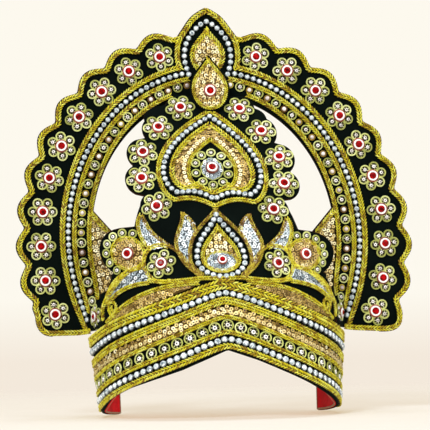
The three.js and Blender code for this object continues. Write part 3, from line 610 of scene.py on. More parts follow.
# Roughness, metal, coat and shine of each hard gloss, then its shades in the same way
GEMS = dict(
    curl=(
        (0.35, 0.2, 0.0, 0.5),
        (0, 0.05, 0.038, 0.012), (0.35, 0.2, 0.18, 0.055), (0.55, 0.46, 0.44, 0.17), (1, 0.84, 0.82, 0.5),
    ),
    # Cut stones take a tone for each facet, so the crystal and ruby shades also paint their sparkle and
    # reflections.
    crystal=((0.12, 0.0, 0.2, 0.5), (0, 0.15, 0.2, 0.24), (0.4, 0.48, 0.56, 0.6), (1, 0.9, 0.94, 0.95)),
    cup=((0.3, 0.7, 0.0, 0.5), (0, 0.1, 0.12, 0.13), (1, 0.32, 0.35, 0.37)),
    bead=((0.15, 0.0, 0.3, 0.5), (0, 0.66, 0.62, 0.6), (0.5, 0.88, 0.85, 0.84), (1, 0.97, 0.95, 0.95)),
    pearl=((0.14, 0.0, 0.6, 0.5), (0, 0.44, 0.36, 0.34), (0.5, 0.72, 0.64, 0.61), (1, 0.95, 0.92, 0.91)),
    enamel=((0.25, 0.0, 0.2, 0.5), (0, 0.8, 0.79, 0.78), (1, 0.92, 0.91, 0.9)),
    ruby=((0.2, 0.0, 0.0, 0.1), (0, 0.06, 0, 0.001), (0.4, 0.2, 0, 0.001), (1, 0.48, 0.001, 0.003)),
    # The cup's dark red-brown is partly its own colour and partly painted shade round the stone's ring.
    red_cup=((0.3, 0.2, 0.0, 0.5), (0, 0.15, 0.026, 0.012), (1, 0.32, 0.06, 0.03)),
    hole=((0.6, 0.0, 0.0, 0.5), (0, 0.012, 0.008, 0.006), (1, 0.03, 0.02, 0.012)),
    sequin_gold=(
        (0.3, 0.25, 0.1, 0.5),
        (0, 0.26, 0.15, 0.02), (0.45, 0.49, 0.33, 0.07), (0.8, 0.72, 0.55, 0.19), (1, 0.98, 0.9, 0.58),
    ),
    sequin_silver=(
        (0.25, 0.25, 0.1, 0.5),
        (0, 0.18, 0.23, 0.26), (0.5, 0.38, 0.46, 0.5), (0.8, 0.6, 0.68, 0.72), (1, 0.9, 0.94, 0.95),
    ),
)


def make_looks():
    velvet("velvet", (0.0004, 0.0012, 0.0009), (0.0022, 0.0052, 0.004), (0.08, 0.16, 0.12))
    velvet("edge_tape", (0.028, 0.008, 0.004), (0.085, 0.026, 0.014), (0.5, 0.25, 0.2))
    for name, (finish, *stops) in THREADS.items():
        thread(name, *finish, *stops)
    for name, (finish, *stops) in GEMS.items():
        gem(name, *finish, *stops)
    satin()
    backing()
    tape()


# Sewn work


def facing_out(flat):
    """The same grid of flat points, ordered so that its sheet faces out of the board."""
    across, along = flat[:-1, 1:] - flat[:-1, :-1], flat[1:, :-1] - flat[:-1, :-1]
    turn = np.sum(across[..., 0] * along[..., 1] - across[..., 1] * along[..., 0])
    return flat if turn > 0 else flat[::-1]


def slab(heap, flat, front, back, bulge, look, rear_look):
    """A board over flat[along, across] between two depths, with round edges along both sides."""
    flat = facing_out(flat)
    n, m = flat.shape[:2]
    middle, half = (front + back) / 2, (front - back) / 2
    angles = np.radians([45.0, 90.0, 135.0])
    rounds = []
    for edge, inner, order in ((flat[:, -1], flat[:, -2], angles), (flat[:, 0], flat[:, 1], angles[::-1])):
        spots = edge[:, None] + bulge * np.sin(order)[None, :, None] * unit(edge - inner)[:, None]
        depth = np.broadcast_to(middle + half * np.cos(order), spots.shape[:2])
        rounds.append(heap.surface(spots[..., 0], spots[..., 1], depth))
    face, rear = [heap.surface(flat[..., 0], flat[..., 1], np.full((n, m), depth)) for depth in (front, back)]
    section = np.concatenate([face, rounds[0], rear[:, ::-1], rounds[1]], 1)
    start, count = heap.count, section.shape[1]
    heap.grid(section, look, closed_across=True)
    rows, _, soft, tone = heap.faces.pop()
    column = np.arange(len(rows)) % count
    behind = (column > m + 2) & (column < 2 * m + 2)
    for part, part_look in ((~behind, look), (behind, rear_look)):
        heap.faces.append((rows[part], part_look, soft, tone[part]))
    for row, step in ((0, 1), (n - 1, -1)):
        first = start + row * count
        fronts, rears = first + np.arange(m), first + np.arange(2 * m + 2, m + 2, -1)
        quads = np.stack([fronts[1:], fronts[:-1], rears[:-1], rears[1:]], -1)[:, ::step]
        ends = first + np.array([np.arange(m - 1, m + 4), [*range(2 * m + 2, 2 * m + 6), 0]])
        for caps in (quads, ends[:, ::-step]):
            heap.faces.append((caps, look, False, np.full(len(caps), 0.5)))


def tube(heap, line, radius, depth, look, sides=6, step=2.0, closed=False):
    """A round cord along a flat line at a depth off the surface."""
    spots, turn = resample(line, step, closed)
    origin, axes = frames(heap.surface, spots, depth, turn)
    angle = around(sides)[None, :, None]
    ring = radius * (np.cos(angle) * axes[:, None, 1] + np.sin(angle) * axes[:, None, 2])
    heap.grid(origin[:, None] + ring, look, closed_across=True, closed_along=closed)


def grain(long, wide, high, look):
    """A lens-shaped bundle of thread lying along the first axis."""
    turned = ball(0.5, 0.5, 6, 4, look).moved(turn=[[0, 0, 1], [0, 1, 0], [-1, 0, 0]])
    return Shape(turned.verts * (long, wide, high), turned.faces)


# A plait's ground, as shares of its width and height, and its bundles, as shares of a lane and the height
GROUND = np.array([(0.5, 0.0), (0.42, 0.36), (0.0, 0.44), (-0.42, 0.36), (-0.5, 0.0)]) * (0.94, 1.0)
GROUND_STEP = 2.4
BUNDLE = dict(long=1.95, wide=0.55, high=0.75, pitch=1.12, lift=0.58, slant=31.0, tip=5.0)


def braid(heap, line, width=3.9, height=2.0, look="zari", strands_and_gap_shade=2, base=0.3, closed=False):
    """A flat plait: rows of slanted bundles that meet in a herringbone over a ground painted near black as
    the shade between them.
    """
    spots, turn = resample(line, GROUND_STEP, closed)
    origin, axes = frames(heap.surface, spots, base, turn)
    section = GROUND * (width, height)
    ground = section[None, :, 0, None] * axes[:, None, 1] + section[None, :, 1, None] * axes[:, None, 2]
    marks = np.broadcast_to(section[None, :, [0, 0, 1]], ground.shape)
    heap.grid(origin[:, None] + ground, "zari_base", closed_along=closed, spots=marks)
    lane = width / strands_and_gap_shade
    lens = grain(BUNDLE["long"] * lane, BUNDLE["wide"] * lane, BUNDLE["high"] * height, look)
    for k in range(strands_and_gap_shade):
        side = shifted(line, (k - (strands_and_gap_shade - 1) / 2) * lane, closed)
        spots, turn = resample(side, BUNDLE["pitch"] * lane, closed, 0.5 * lane)
        slant = math.radians(BUNDLE["slant"]) * (-1) ** k
        heap.sew(lens, spots, base + BUNDLE["lift"] * height, turn + slant, BUNDLE["tip"])


def chain_link(girdle=1.62):
    stone = cut_stone(girdle, 0.55 * girdle, 0.95, 1.75, "crystal").moved(shift=(0, 0, 0.35))
    wall = [(0.12, 0.0), (0.3, 0.15), (0.3, 1.15), (0.05, 1.4), (-0.1, 1.25)]
    return joined(stone, lathe([(girdle + out, height) for out, height in wall], 12, "cup"))


def chain(heap, line, pitch=4.5, size=1.0, grow=0.0, depth=0.5, closed=False):
    """A string of cups with cut stones, a short bar between each two."""
    spots, turn = spread(line, pitch, grow) if grow else resample(line, pitch, closed)
    size = size * (1.0 + 0.5 * grow * smooth(np.abs(spots[:, 0]), 0.0, SPREAD_REACH))
    heap.sew(chain_link(), spots, depth, turn, tip=4.0, size=size)
    between = (spots + np.roll(spots, -1, 0)) / 2
    bars = len(spots) if closed else len(spots) - 1
    heap.sew(ball(0.55, 0.55, 6, 4, "cup", 0.5), between[:bars], 0.5, turn[:bars])


def wire_petal(radius=3.65, wire=0.55, bead=1.25):
    """A wire ring with short curls of wire inside it, round a bored bead."""
    outer = lathe(circle(wire, radius - wire, 0.75, 6), 20, "wire", closed=True)
    room = radius - 2 * wire - bead
    curl = ball(0.42 * room, 0.4, 5, 3, "curl", 0.5)
    orbit = bead + 0.5 * room
    curls = [curl.moved(shift=(orbit * math.cos(a), orbit * math.sin(a), 0)) for a in around(7)]
    middle = lathe([(0.84 * bead, 0.3), (bead, 0.9), (0.8 * bead, 1.4), (0.4 * bead, 1.5)], 10, "bead")
    hole = lathe([(0.4 * bead, 1.5), (0, 1.0)], 10, "hole")
    return joined(outer, *curls, middle, hole)


def bare_stone():
    seat = lathe(circle(0.42, 2.1, 0.4, 5), 12, "zari_brown", closed=True)
    return joined(ball(1.65, 1.1, 8, 4, "pearl", 0.9), seat)


def centre_stone():
    """A red cut stone in a white ring that stands on a red-brown cup, raised and widened so its dark rim
    shows round the ring, partly its own colour and partly painted shade.
    """
    cup = lathe([(4.2, 0.0), (4.6, 1.5), (4.45, 2.0), (3.4, 2.2)], 24, "red_cup")
    ring = lathe([(3.5, 2.0), (3.7, 2.5), (3.55, 3.0), (3.1, 3.2), (2.6, 3.05), (2.45, 2.7)], 24, "enamel")
    return joined(cup, ring, cut_stone(2.5, 1.2, 2.8, 3.7, "ruby"))


def stone(heap, spot, lift=1.0, size=1.0):
    heap.sew(centre_stone(), [spot], lift, size=size)


def flower_shape(petals=6, orbit=6.75, raised=0.35, tip=math.radians(7.0)):
    """Wire petals that lean out, each second one a little raised, round a red stone."""
    lean = np.array([[math.cos(tip), 0, math.sin(tip)], [0, 1, 0], [-math.sin(tip), 0, math.cos(tip)]])
    ring = []
    for k, angle in enumerate(around(petals)):
        c, s = math.cos(angle), math.sin(angle)
        turn = np.array([[c, -s, 0], [s, c, 0], [0, 0, 1]])
        ring.append(wire_petal().moved(turn @ lean, turn @ (orbit, 0, raised * (k % 2))))
    return joined(*ring, centre_stone())


def flowers(heap, spots, spins, size=1.0):
    heap.sew(flower_shape(), spots, 0.3, np.radians(spins), tip=3.0, size=size)


def sequin(look):
    """A small cup with a hole in the middle."""
    cup = [(0.56, 0.1), (1.44, 0.32), (1.46, 0.5), (0.9, 0.24), (0.56, 0.36)]
    return joined(lathe(cup, 10, look, closed=True), lathe([(0.58, 0.2), (0, 0.12)], 10, "hole"))


def scatter(left, right, pitch, edge):
    """Staggered rows of flat spots between two lines that run the same way."""
    count = max(1, round(max(lengths(left)[-1], lengths(right)[-1]) / pitch))
    share = (np.arange(count) + 0.5) / count
    spots = []
    for i, (a, b) in enumerate(zip(at_share(left, share), at_share(right, share))):
        across = int((np.linalg.norm(b - a) - 2 * edge) / pitch + 0.4)
        stagger = 0.22 * (-1) ** (i + 1) if across > 1 else 0.0
        spots += [a + (b - a) * (j + 0.5 + stagger) / across for j in range(across)]
    return np.array(spots) + rng.uniform(-0.12, 0.12, (len(spots), 2)) * pitch


# Tone of the sequins painted near white as glints
GLINT_TONE = 0.96


def field(
    heap, left, right, tone="gold", pitch=2.95, size=0.99, rise=0.8, base=0.2, edge=0.0, glint_share=0.0, top=1.0
):
    """Sequins in rows on a thread ground between two flat lines that run the same way.

    A share of them is painted near white as glints, and the tones of the others end at a top.
    """
    t, s = np.linspace(0.0, 1.0, 33), np.linspace(0.0, 1.0, 9)
    a, b = at_share(left, t), at_share(right, t)
    flat = facing_out(a[:, None] + s[None, :, None] * (b - a)[:, None])
    swell = np.sqrt(np.sin(math.pi * s)) * np.sqrt(np.sin(math.pi * np.clip(t, 0.02, 0.98)))[:, None]
    points = heap.surface(flat[..., 0], flat[..., 1], base + rise * swell)
    heap.grid(points, "thread_" + tone, spots=np.concatenate([flat, 0 * flat[..., :1]], -1))
    spots = scatter(left, right, pitch, edge)
    scale = size * rng.uniform(0.88, 1.1, len(spots))
    turn = rng.uniform(0, 6.3, len(spots))
    shade = rng.random((len(spots), 1))
    # Sequins below the share take the near-white tone: painted glints.
    shade = np.where(shade < glint_share, GLINT_TONE, top * shade)
    heap.sew(sequin("sequin_" + tone), spots, base + 0.75 * rise, turn, tip=16.0, size=scale, tone=shade)


def disc(heap, x, z, across, up, **options):
    field(heap, oval(x, z, across, up, 90, 270), oval(x, z, across, up, 90, -90), **options)


def drop_half(half, top, wide, bottom):
    """The right half of a drop, from its tip to its foot."""
    rise, fall = top - wide, wide - bottom
    upper = [(0, top), (half * 0.3, top - rise * 0.35), (half, wide + rise * 0.42), (half, wide)]
    return bezier(upper + [(half, wide - fall * 0.58), (half * 0.55, bottom), (0, bottom)])


def spade_half(half, top, wide, corner_u, corner_z, foot):
    """The right half of a spade, from its tip by its corner to its foot."""
    rise, fall = top - wide, wide - corner_z
    upper = [(0, top), (half * 0.42, top - rise * 0.22), (half, wide + rise * 0.42), (half, wide)]
    side = [(half, wide - fall * 0.55), ((half + corner_u) / 2, corner_z + 1), (corner_u, corner_z)]
    lower = [(corner_u * 0.6, corner_z + 3.4), (corner_u * 0.3, corner_z + 0.6), (0, foot)]
    return bezier(upper + side + lower)


# Halo pieces

FINIAL_BRAID = [(0, 285.2), (8.8, 279.4), (15.2, 270.9), (20, 263.2), (21.5, 255), (21.1, 248), (19.2, 242.6)]
FINIAL_CHAIN = [
    (0, 277.4), (4.6, 274.9), (8.8, 271.2), (12, 267), (14.8, 261.8), (16.4, 255), (16, 247), (13.8, 239.4),
]
FINIAL_FOOT = 264.0
LEAF = (11.6, 272.6, 253, 240)
DROP = (12.4, 251.6, 228.0, 212.8)
DROP_STONE = (0, 226.5)
EDGE_START = [(21.0, 264.8)]
EDGE_END = [(97.5, 58.4), (85.0, 59.6)]
FLANGE_FLOWER = dict(x=77.2, z=69.2, spin=30.0, size=0.87)
# Ends of each row of the ring, in degrees from the top, and its half width and height on each side
RING = dict(
    outer=((11.0, 121.5), {-1: (106.5, 123.0), 1: (107.4, 122.8)}),
    chain=((10.5, 118.5), {-1: (102.4, 118.1), 1: (103.5, 118.1)}),
    middle=((8.0, 117.0), {-1: (98.2, 113.7), 1: (99.5, 113.7)}),
    studs=((8.2, 114.5), {-1: (93.4, 109.5), 1: (94.4, 109.7)}),
    inner=((17.5, 113.5), {-1: (87.8, 106.0), 1: (88.6, 105.8)}),
)
STUD_PITCH, STUD_INSET = 7.05, 2.0
CORNER_OUTER = (86.2, 104.0, 79.5, 112)
CORNER_INNER = [(84.6, 141.5), (74.0, 126.0), (72.0, 104), (75, 87)]
CORNER_BRAID = [(86.0, 141.6), (72.6, 126.0)]
# The halo's grid, and the parts of its edge that lie opposite the corners of its inner line
HALO_ROWS, HALO_COLUMNS = 300, 25
INNER_TOP = 16.0
EDGE_PARTS = (0.0, 0.57, 0.68, 0.77)
HEM = dict(off=3.6, pitch=4.4, inset=6.0, stitch=(3.0, 0.8, 0.6))


def ring_line(part, side):
    ends, size = RING[part]
    return ring_arc(*size[side], *ends, side)


def halo_outline(side):
    """Half of the halo's outer edge as if on the right, and how many points its finial and scallops have."""
    tip = shifted(catmull(FINIAL_BRAID), SCALLOP_OUT["margin"])
    tip[0] = (0.0, tip[0][1])
    finial = tip[tip[:, 1] > FINIAL_FOOT]
    edge = scallop(SCALLOP_OUT["margin"], side)
    corner = shifted(catmull(EDGE_CORNER[side], 5), 1.7)
    return np.vstack([finial, edge, corner]), len(finial), len(edge)


def halo_board():
    window_end = math.degrees(math.acos((WINDOW_LOW - RING_Z) / WINDOW[1]))
    flange = [KNEE, (KNEE[0], FOLD["fade"][1]), FLANGE_FOOT]
    inner = np.vstack([ring_arc(*WINDOW, 0.0, window_end), flange])
    stops = [0.0, INNER_TOP, *lengths(inner)[-4:]]
    share = np.linspace(0.0, 1.0, HALO_COLUMNS)[None, :, None]
    halves, outlines = [], []
    for _, side in SIDES:
        outer, tips, edges = halo_outline(side)
        run = lengths(outer)
        marks = [0.0, *(run[tips + int(edges * part)] for part in EDGE_PARTS), run[-1]]
        where = np.linspace(0.0, run[-1], HALO_ROWS)
        near = at_length(inner, np.interp(where, marks, stops))
        halves.append(near[:, None] + share * (at_length(outer, where) - near)[:, None])
        outlines.append(outer)
    heap = Heap(halo, "halo_velvet", "velvet", "halo_board")
    slab(heap, both_sides(*halves[::-1]), 0.0, -HALO_THICK, 0.4, "velvet", "backing")
    for line, off in ((both_sides(*outlines[::-1]), -HEM["off"]), (both_sides(inner), HEM["off"])):
        tube(heap, line, 0.55, -1.0, "edge_tape")
        spots, turn = resample(shifted(line, off), HEM["pitch"], inset=HEM["inset"])
        heap.sew(grain(*HEM["stitch"], "stitch"), spots, -HALO_THICK, turn)


def halo_trim():
    heap = Heap(halo, "halo_edge_braid", "zari_braid", "halo_edge_cord")
    braid(heap, both_sides(catmull(FINIAL_BRAID)))
    for _, side in SIDES:
        edge = np.vstack([EDGE_START, scallop(0.0, side), catmull(EDGE_CORNER[side], 5), EDGE_END])
        braid(heap, edge * (side, 1.0))
    count = SCALLOP["count"]
    for name, side in SIDES:
        heap = Heap(halo, "ring_outer_braid_" + name, "zari_braid", "ring_outer_cord_" + name)
        braid(heap, ring_line("outer", side))
        heap = Heap(halo, "ring_chain_" + name, "stone_chain", "ring_stone_chain_" + name)
        chain(heap, ring_line("chain", side), size=0.95)
        nodes = [f"halo_flower_{name}_{i + 1}" for i in range(count)]
        heap = Heap(halo, "halo_flowers_" + name, "wire_flower", *nodes)
        spots = at_length(SCALLOP_LINE, SCALLOP["first"] + np.arange(count) * PITCH[side])
        spins = np.degrees(np.arctan2(spots[:, 1] - SCALLOP["z"], side * spots[:, 0]))
        flowers(heap, spots * (side, 1.0), spins + rng.uniform(-14, 14, count))
        heap = Heap(halo, "flange_flower_wire_" + name, "wire_flower", "flange_flower_" + name)
        spot = (side * FLANGE_FLOWER["x"], FLANGE_FLOWER["z"])
        flowers(heap, [spot], [FLANGE_FLOWER["spin"]], FLANGE_FLOWER["size"])


def ring_studs():
    for name, side in SIDES:
        heap = Heap(halo, "ring_stud_work_" + name, "sequin_work", "ring_stud_band_" + name)
        braid(heap, ring_line("middle", side), width=3.4)
        braid(heap, ring_line("inner", side), width=3.4)
        spots, turn = resample(ring_line("studs", side), STUD_PITCH, inset=STUD_INSET)
        heap.sew(wire_petal(3.5, 0.45, 1.35), spots[1::2], 0.2, turn[1::2], tip=5.0)
        heap.sew(bare_stone(), spots[::2], 0.2, turn[::2], tip=8.0)
        inner = catmull(np.array(CORNER_INNER) * (side, 1.0))
        field(heap, ring_arc(*CORNER_OUTER, side), inner, glint_share=0.4)
        braid(heap, np.array(CORNER_BRAID) * (side, 1.0), width=3.8)


def finial_trim():
    heap = Heap(halo, "finial_chain", "stone_chain", "finial_stone_chain")
    chain(heap, both_sides(catmull(FINIAL_CHAIN)))
    heap = Heap(halo, "finial_leaf_work", "sequin_work", "finial_leaf")
    half = drop_half(*LEAF)
    line = shifted(half, -1.9)
    field(heap, mirror(line), line, edge=0.4, glint_share=0.5)
    braid(heap, both_sides(shifted(half, -0.9))[4:-4], width=3.8)
    heap = Heap(drop_face, "finial_drop_work", "sequin_work", "finial_drop")
    half = drop_half(*DROP)
    line = shifted(half, -1.6)
    field(heap, mirror(line), line, edge=0.4, glint_share=0.35)
    braid(heap, loop(shifted(half, -0.9)), width=2.7, closed=True)
    # A dark velvet cord round the drop stands in for the drop's shadow line on the leaf: painted shadow.
    tube(heap, loop(shifted(half, 0.9)), 0.75, 0.4, "velvet", closed=True)
    stone(heap, DROP_STONE)


# Boards of the front

PANEL_SIDE = [(64, 99.4), (68, 100.5), (74, 97.5), (80, 91.5), (86, 84.5), (93, 79), (96, 79)]
PANEL_LEVEL, PANEL_TOP, PANEL_GAP = 103.0, 223.4, 0.9
PANEL_ROWS, PANEL_COLUMNS = 150, 49
LOBE = 10.8
NECK = [(120.0, 57.6), (126.0, 56.2), (132.0, 54.2), (137.0, 52.4), (141.5, 50.4)]
WINDOW_LOBE = {-1: (33.5, 206.0, 12.0, 9.0), 1: (29.0, 206.0, 11.0, 9.0)}
SPRAY = (62.3, 109.3)
SPRAY_LOBE = (21.0, 17.0)
MEDALLION_FLOWERS = [(20.7, 213), (35.9, 197.2), (47, 178.4), (48.7, 159.5), (39.6, 140.6)]
RIM = [
    (-190, 0.5), (-166, 0.5), (-150, 1.4), (-136, 2.8), (-126, 4.2), (-118, 5.8), (-110, 8), (-103, 11),
    (-94, 15), (-87, 17.8), (-60, 24.6), (-47, 28.2), (-31, 33), (-14, 39.8), (0, 45.6), (20, 38.8),
    (39, 31.2), (49, 27.4), (59, 23.6), (75, 17.4), (87, 13.4), (100, 9.4), (112, 6.8), (120, 5.4),
    (128, 4.0), (138, 2.6), (150, 1.2), (160, 0.5), (190, 0.5),
]
# Shares of the band's height, and how far its rear ends are cut back there
END_CUT = [(0.0, 4.0), (0.5, 0.0), (1.0, 7.0)]
# The lining's rim is held in where u is under RIM_FRONT, over a fade, and taped where u is over TAPE_FROM
RIM_FRONT, RIM_FADE, TAPE_FROM = 102.0, 24.0, 84.0


def panel_half(z, side):
    low = np.interp(z, *np.transpose(PANEL_SIDE))
    lobes = [(*SPRAY, *SPRAY_LOBE), WINDOW_LOBE[side]]
    lobes += [(u, level, LOBE, LOBE) for u, level in MEDALLION_FLOWERS]
    reach = np.where(z < NECK[-1][0], np.interp(z, *np.transpose(NECK)), 0.0)
    for u, level, across, up in lobes:
        inside = 1.0 - ((z - level) / up) ** 2
        reach = np.maximum(reach, np.where(inside > 0, u + across * np.sqrt(np.maximum(inside, 0.0)), 0.0))
    return np.where(z < PANEL_SIDE[-1][0], low, reach)


def front_panel():
    low = PANEL_SIDE[0][0]
    level = np.linspace(low, PANEL_TOP, PANEL_ROWS)[:, None]
    left, right = -panel_half(level, -1), panel_half(level, 1)
    u = left + (right - left) * np.linspace(0.0, 1.0, PANEL_COLUMNS)[None]
    share = (level - low) / (PANEL_LEVEL - low)
    foot = row_height(*BAND_TOP, u) + PANEL_GAP
    flat = np.stack([u, np.where(share < 1.0, foot + (PANEL_LEVEL - foot) * share, level)], -1)
    heap = Heap(panel, "panel_velvet", "velvet", "front_panel")
    slab(heap, flat, 0.0, -PANEL_THICK, 0.4, "velvet", "backing")
    for edge in (flat[:, 0], flat[:, -1]):
        tube(heap, edge, 0.5, -0.9, "edge_tape", sides=5, step=1.5)


def band_grid(columns, rows, rim=0.0, top=0.0, end=0.0):
    """Flat points of the band, which can be held in at the rim, the top and the rear ends."""
    level = row_height(*BAND_TOP, REAR_U)
    t = np.linspace(0.0, 1.0, rows)[None]
    cut = np.interp(t, *np.transpose(END_CUT)) + end
    left, right = cut - band_end(level * t, -1), band_end(level * t, 1) - cut
    u = left + (right - left) * np.linspace(0.0, 1.0, columns)[:, None]
    held = rim * (0.1 + 0.9 * smooth(RIM_FRONT - np.abs(u), 0.0, RIM_FADE))
    low = np.interp(u, *np.transpose(RIM)) + held
    high = row_height(*BAND_TOP, u) - top
    return np.stack([u, low + (high - low) * t], -1)


def band_boards():
    heap = Heap(panel, "band_velvet", "velvet", "band_board")
    slab(heap, band_grid(181, 15), 0.0, -BAND_THICK, 0.2, "velvet", "velvet")
    heap = Heap(panel, "band_satin", "lining_satin", "band_lining")
    flat = band_grid(121, 13, rim=1.6, top=3.0, end=1.0)
    slab(heap, flat, -BAND_THICK - 0.3, -BAND_THICK - 1.3, 0.2, "satin", "satin")
    rim = flat[:, 0]
    for part in (rim[rim[:, 0] < -TAPE_FROM], rim[rim[:, 0] > TAPE_FROM]):
        tube(heap, part + (0.0, 0.4), 0.6, -BAND_THICK - 1.2, "tape", step=2.5)
    for end in (flat[0], flat[-1]):
        tube(heap, end, 0.6, -BAND_THICK - 1.0, "tape", step=2.5)


# Medallion

MEDALLION = dict(
    braid=(37.0, 211.6, 165, 26.4, 145.4, 141.6),
    chain=(33.5, 207.2, 165.2, 23.4, 150.4, 146.6),
    border=(27.7, 201.4, 165.4, 18.8, 153.6, 150.6),
    pocket=(16.3, 189.8, 167, 11.8, 156.6, 153),
)
ROSETTE = (0, 168.6)
ROSETTE_PETALS, ROSETTE_ORBIT, ROSETTE_DISC, ROSETTE_WIRE = 10, 11.7, 7.2, 7.6


def medallion_trim():
    lines = {part: spade_half(*sizes) for part, sizes in MEDALLION.items()}
    heap = Heap(panel, "medallion_outer_braid", "zari_braid", "medallion_outer_cord")
    for flip in FLIPS:
        braid(heap, lines["braid"] * flip, width=3.4)
    heap = Heap(panel, "medallion_chain", "stone_chain", "medallion_stone_chain")
    chain(heap, loop(lines["chain"]), pitch=4.05, closed=True)
    heap = Heap(panel, "medallion_border", "sequin_work", "medallion_sequin_border")
    outer, inner = lines["border"], lines["pocket"]
    for flip in FLIPS:
        field(heap, shifted(outer, -1.6)[:34] * flip, shifted(inner, 1.2)[:34] * flip, top=0.8)
        braid(heap, outer * flip, width=3.8)
        braid(heap, inner[:36] * flip, width=2.8)
        spots, turn = resample(shifted(inner, 3.1)[2:32] * flip, 3.0)
        heap.sew(sequin("sequin_gold"), spots, 1.2, turn, tip=14.0, size=0.95, tone=0.94)
    heap = Heap(panel, "medallion_rosette_work", "silver_work", "medallion_rosette")
    petals = oval(*ROSETTE, ROSETTE_ORBIT, ROSETTE_ORBIT, 90, 450, ROSETTE_PETALS + 1)[:-1]
    heap.sew(wire_petal(3.4), petals, 0.2, rng.uniform(0, 6.3, ROSETTE_PETALS), tip=5.0)
    disc(heap, *ROSETTE, ROSETTE_DISC, ROSETTE_DISC, tone="silver", pitch=2.3, size=0.85)
    tube(heap, oval(*ROSETTE, ROSETTE_WIRE, ROSETTE_WIRE)[:-1], 0.45, 0.7, "wire", closed=True)
    stone(heap, ROSETTE)
    count = len(MEDALLION_FLOWERS)
    for name, side in SIDES:
        nodes = [f"medallion_flower_{name}_{i + 1}" for i in range(count)]
        heap = Heap(panel, "medallion_flowers_" + name, "wire_flower", *nodes)
        flowers(heap, np.array(MEDALLION_FLOWERS) * (side, 1.0), rng.uniform(0, 60, count), size=1.03)


# Lotus

LOTUS_BRAID = [(-0.8, 140.6), (5.6, 131), (20.6, 124), (20.6, 106), (20.6, 101), (17.4, 97.6), (12.6, 94.2)]
LOTUS_PETAL = [
    (23.4, 137), (24, 127), (31, 121), (29.6, 113), (28, 103), (21, 97), (15.4, 93.6),
    (24, 99), (22, 113), (14.6, 125), (15, 130), (18, 135), (23.4, 137),
]
LOTUS_CHAIN = (16, 135.8, 105.3, 93.4)
HEART = (12.6, 128.4, 105.6, 96.4)
HEART_DISC = (0, 103.0)
HEART_STONE = (0.6, 104.0)


def lotus_trim():
    heap = Heap(panel, "lotus_petal_work", "silver_work", "lotus_petals")
    outline = bezier(LOTUS_PETAL)
    outer, foot, inner = np.split(outline, [2 * CURVE_STEPS, 3 * CURVE_STEPS])
    outer, foot = np.vstack([outer, foot[:1]]), np.vstack([foot, inner[:1]])
    rest = np.vstack([inner, outline[:1]])
    for flip in FLIPS:
        braid(heap, bezier(LOTUS_BRAID) * flip, width=2.6, height=1.6, look="zari_brown")
        filled = np.vstack([rest[::-1], foot[::-1]])[3:]
        field(heap, shifted(outer, -1.6) * flip, filled * flip, tone="silver", pitch=2.7, glint_share=0.35)
        for line in (shifted(outer, -0.9), shifted(inner, -0.9)):
            braid(heap, line * flip, width=2.8, height=1.7, look="zari_brown")
        braid(heap, foot * flip, width=2.0, height=1.4, look="zari_brown")
    heap = Heap(panel, "lotus_chain", "stone_chain", "lotus_stone_chain")
    chain(heap, loop(drop_half(*LOTUS_CHAIN)), pitch=4.2, closed=True)
    heap = Heap(panel, "lotus_heart_work", "sequin_work", "lotus_heart")
    half = drop_half(*HEART)
    line = shifted(half, -1.8)[:24]
    field(heap, mirror(line), line, glint_share=0.3)
    braid(heap, loop(shifted(half, -0.6)), width=3.0, closed=True)
    disc(heap, *HEART_DISC, 9.9, 6.1, tone="silver", pitch=2.3, size=0.85, base=0.8)
    braid(heap, oval(*HEART_DISC, 10.5, 6.7)[:-1], width=1.8, height=1.6, base=0.6, closed=True)
    stone(heap, HEART_STONE, 1.6, 0.74)


# Sprays beside the lotus

PETAL_OUTER = [(50.6, 135), (55.4, 131), (54.4, 119), (46.4, 111.6)]
LONG_CORD = [(50.6, 135), (45.2, 124), (36.4, 116), (28.2, 110.2), (20.8, 100.4), (13.9, 91.9)]
FOOT_CORD = [(50, 91.4), (38, 90.4), (26, 91.0), (13, 92.2), (0, 91.8)]
SPRAY_SET = {-1: [(0, 0), (100, 0)], 1: [(0, 0), (40, -1.8), (62, -3.4), (80, -1.8), (96, 0)]}
LEAF_TOP = [(52, 100), (66, 99), (79, 91), (88, 79)]
LEAF_FOOT = [(48, 90.4), (64, 90.4), (76, 86), (88, 77)]
EDGE_BRAID = [(66, 97), (74, 91.5), (85, 82.5), (94, 74), (96.2, 66.4)]
DISC, DISC_BRAID = (10.6, 9.4), (11.4, 10.2)
DISC_STUDS = dict(across=15.9, up=13.7, first=107.0, step=-26.0, count=7)
FLOWER_RING = (40.2, 102.4)
FLOWER_RING_ARC = (12.2, 12.2, 118, -116)
CRESCENT = dict(start=16.0, end=92.0, count=66, off=1.1, edge=0.8, high=7.4)
SCROLL = dict(middle=(82.6, 74.6), turn=(-1.6, 7.4), reach=(5.6, 0.8), count=48)


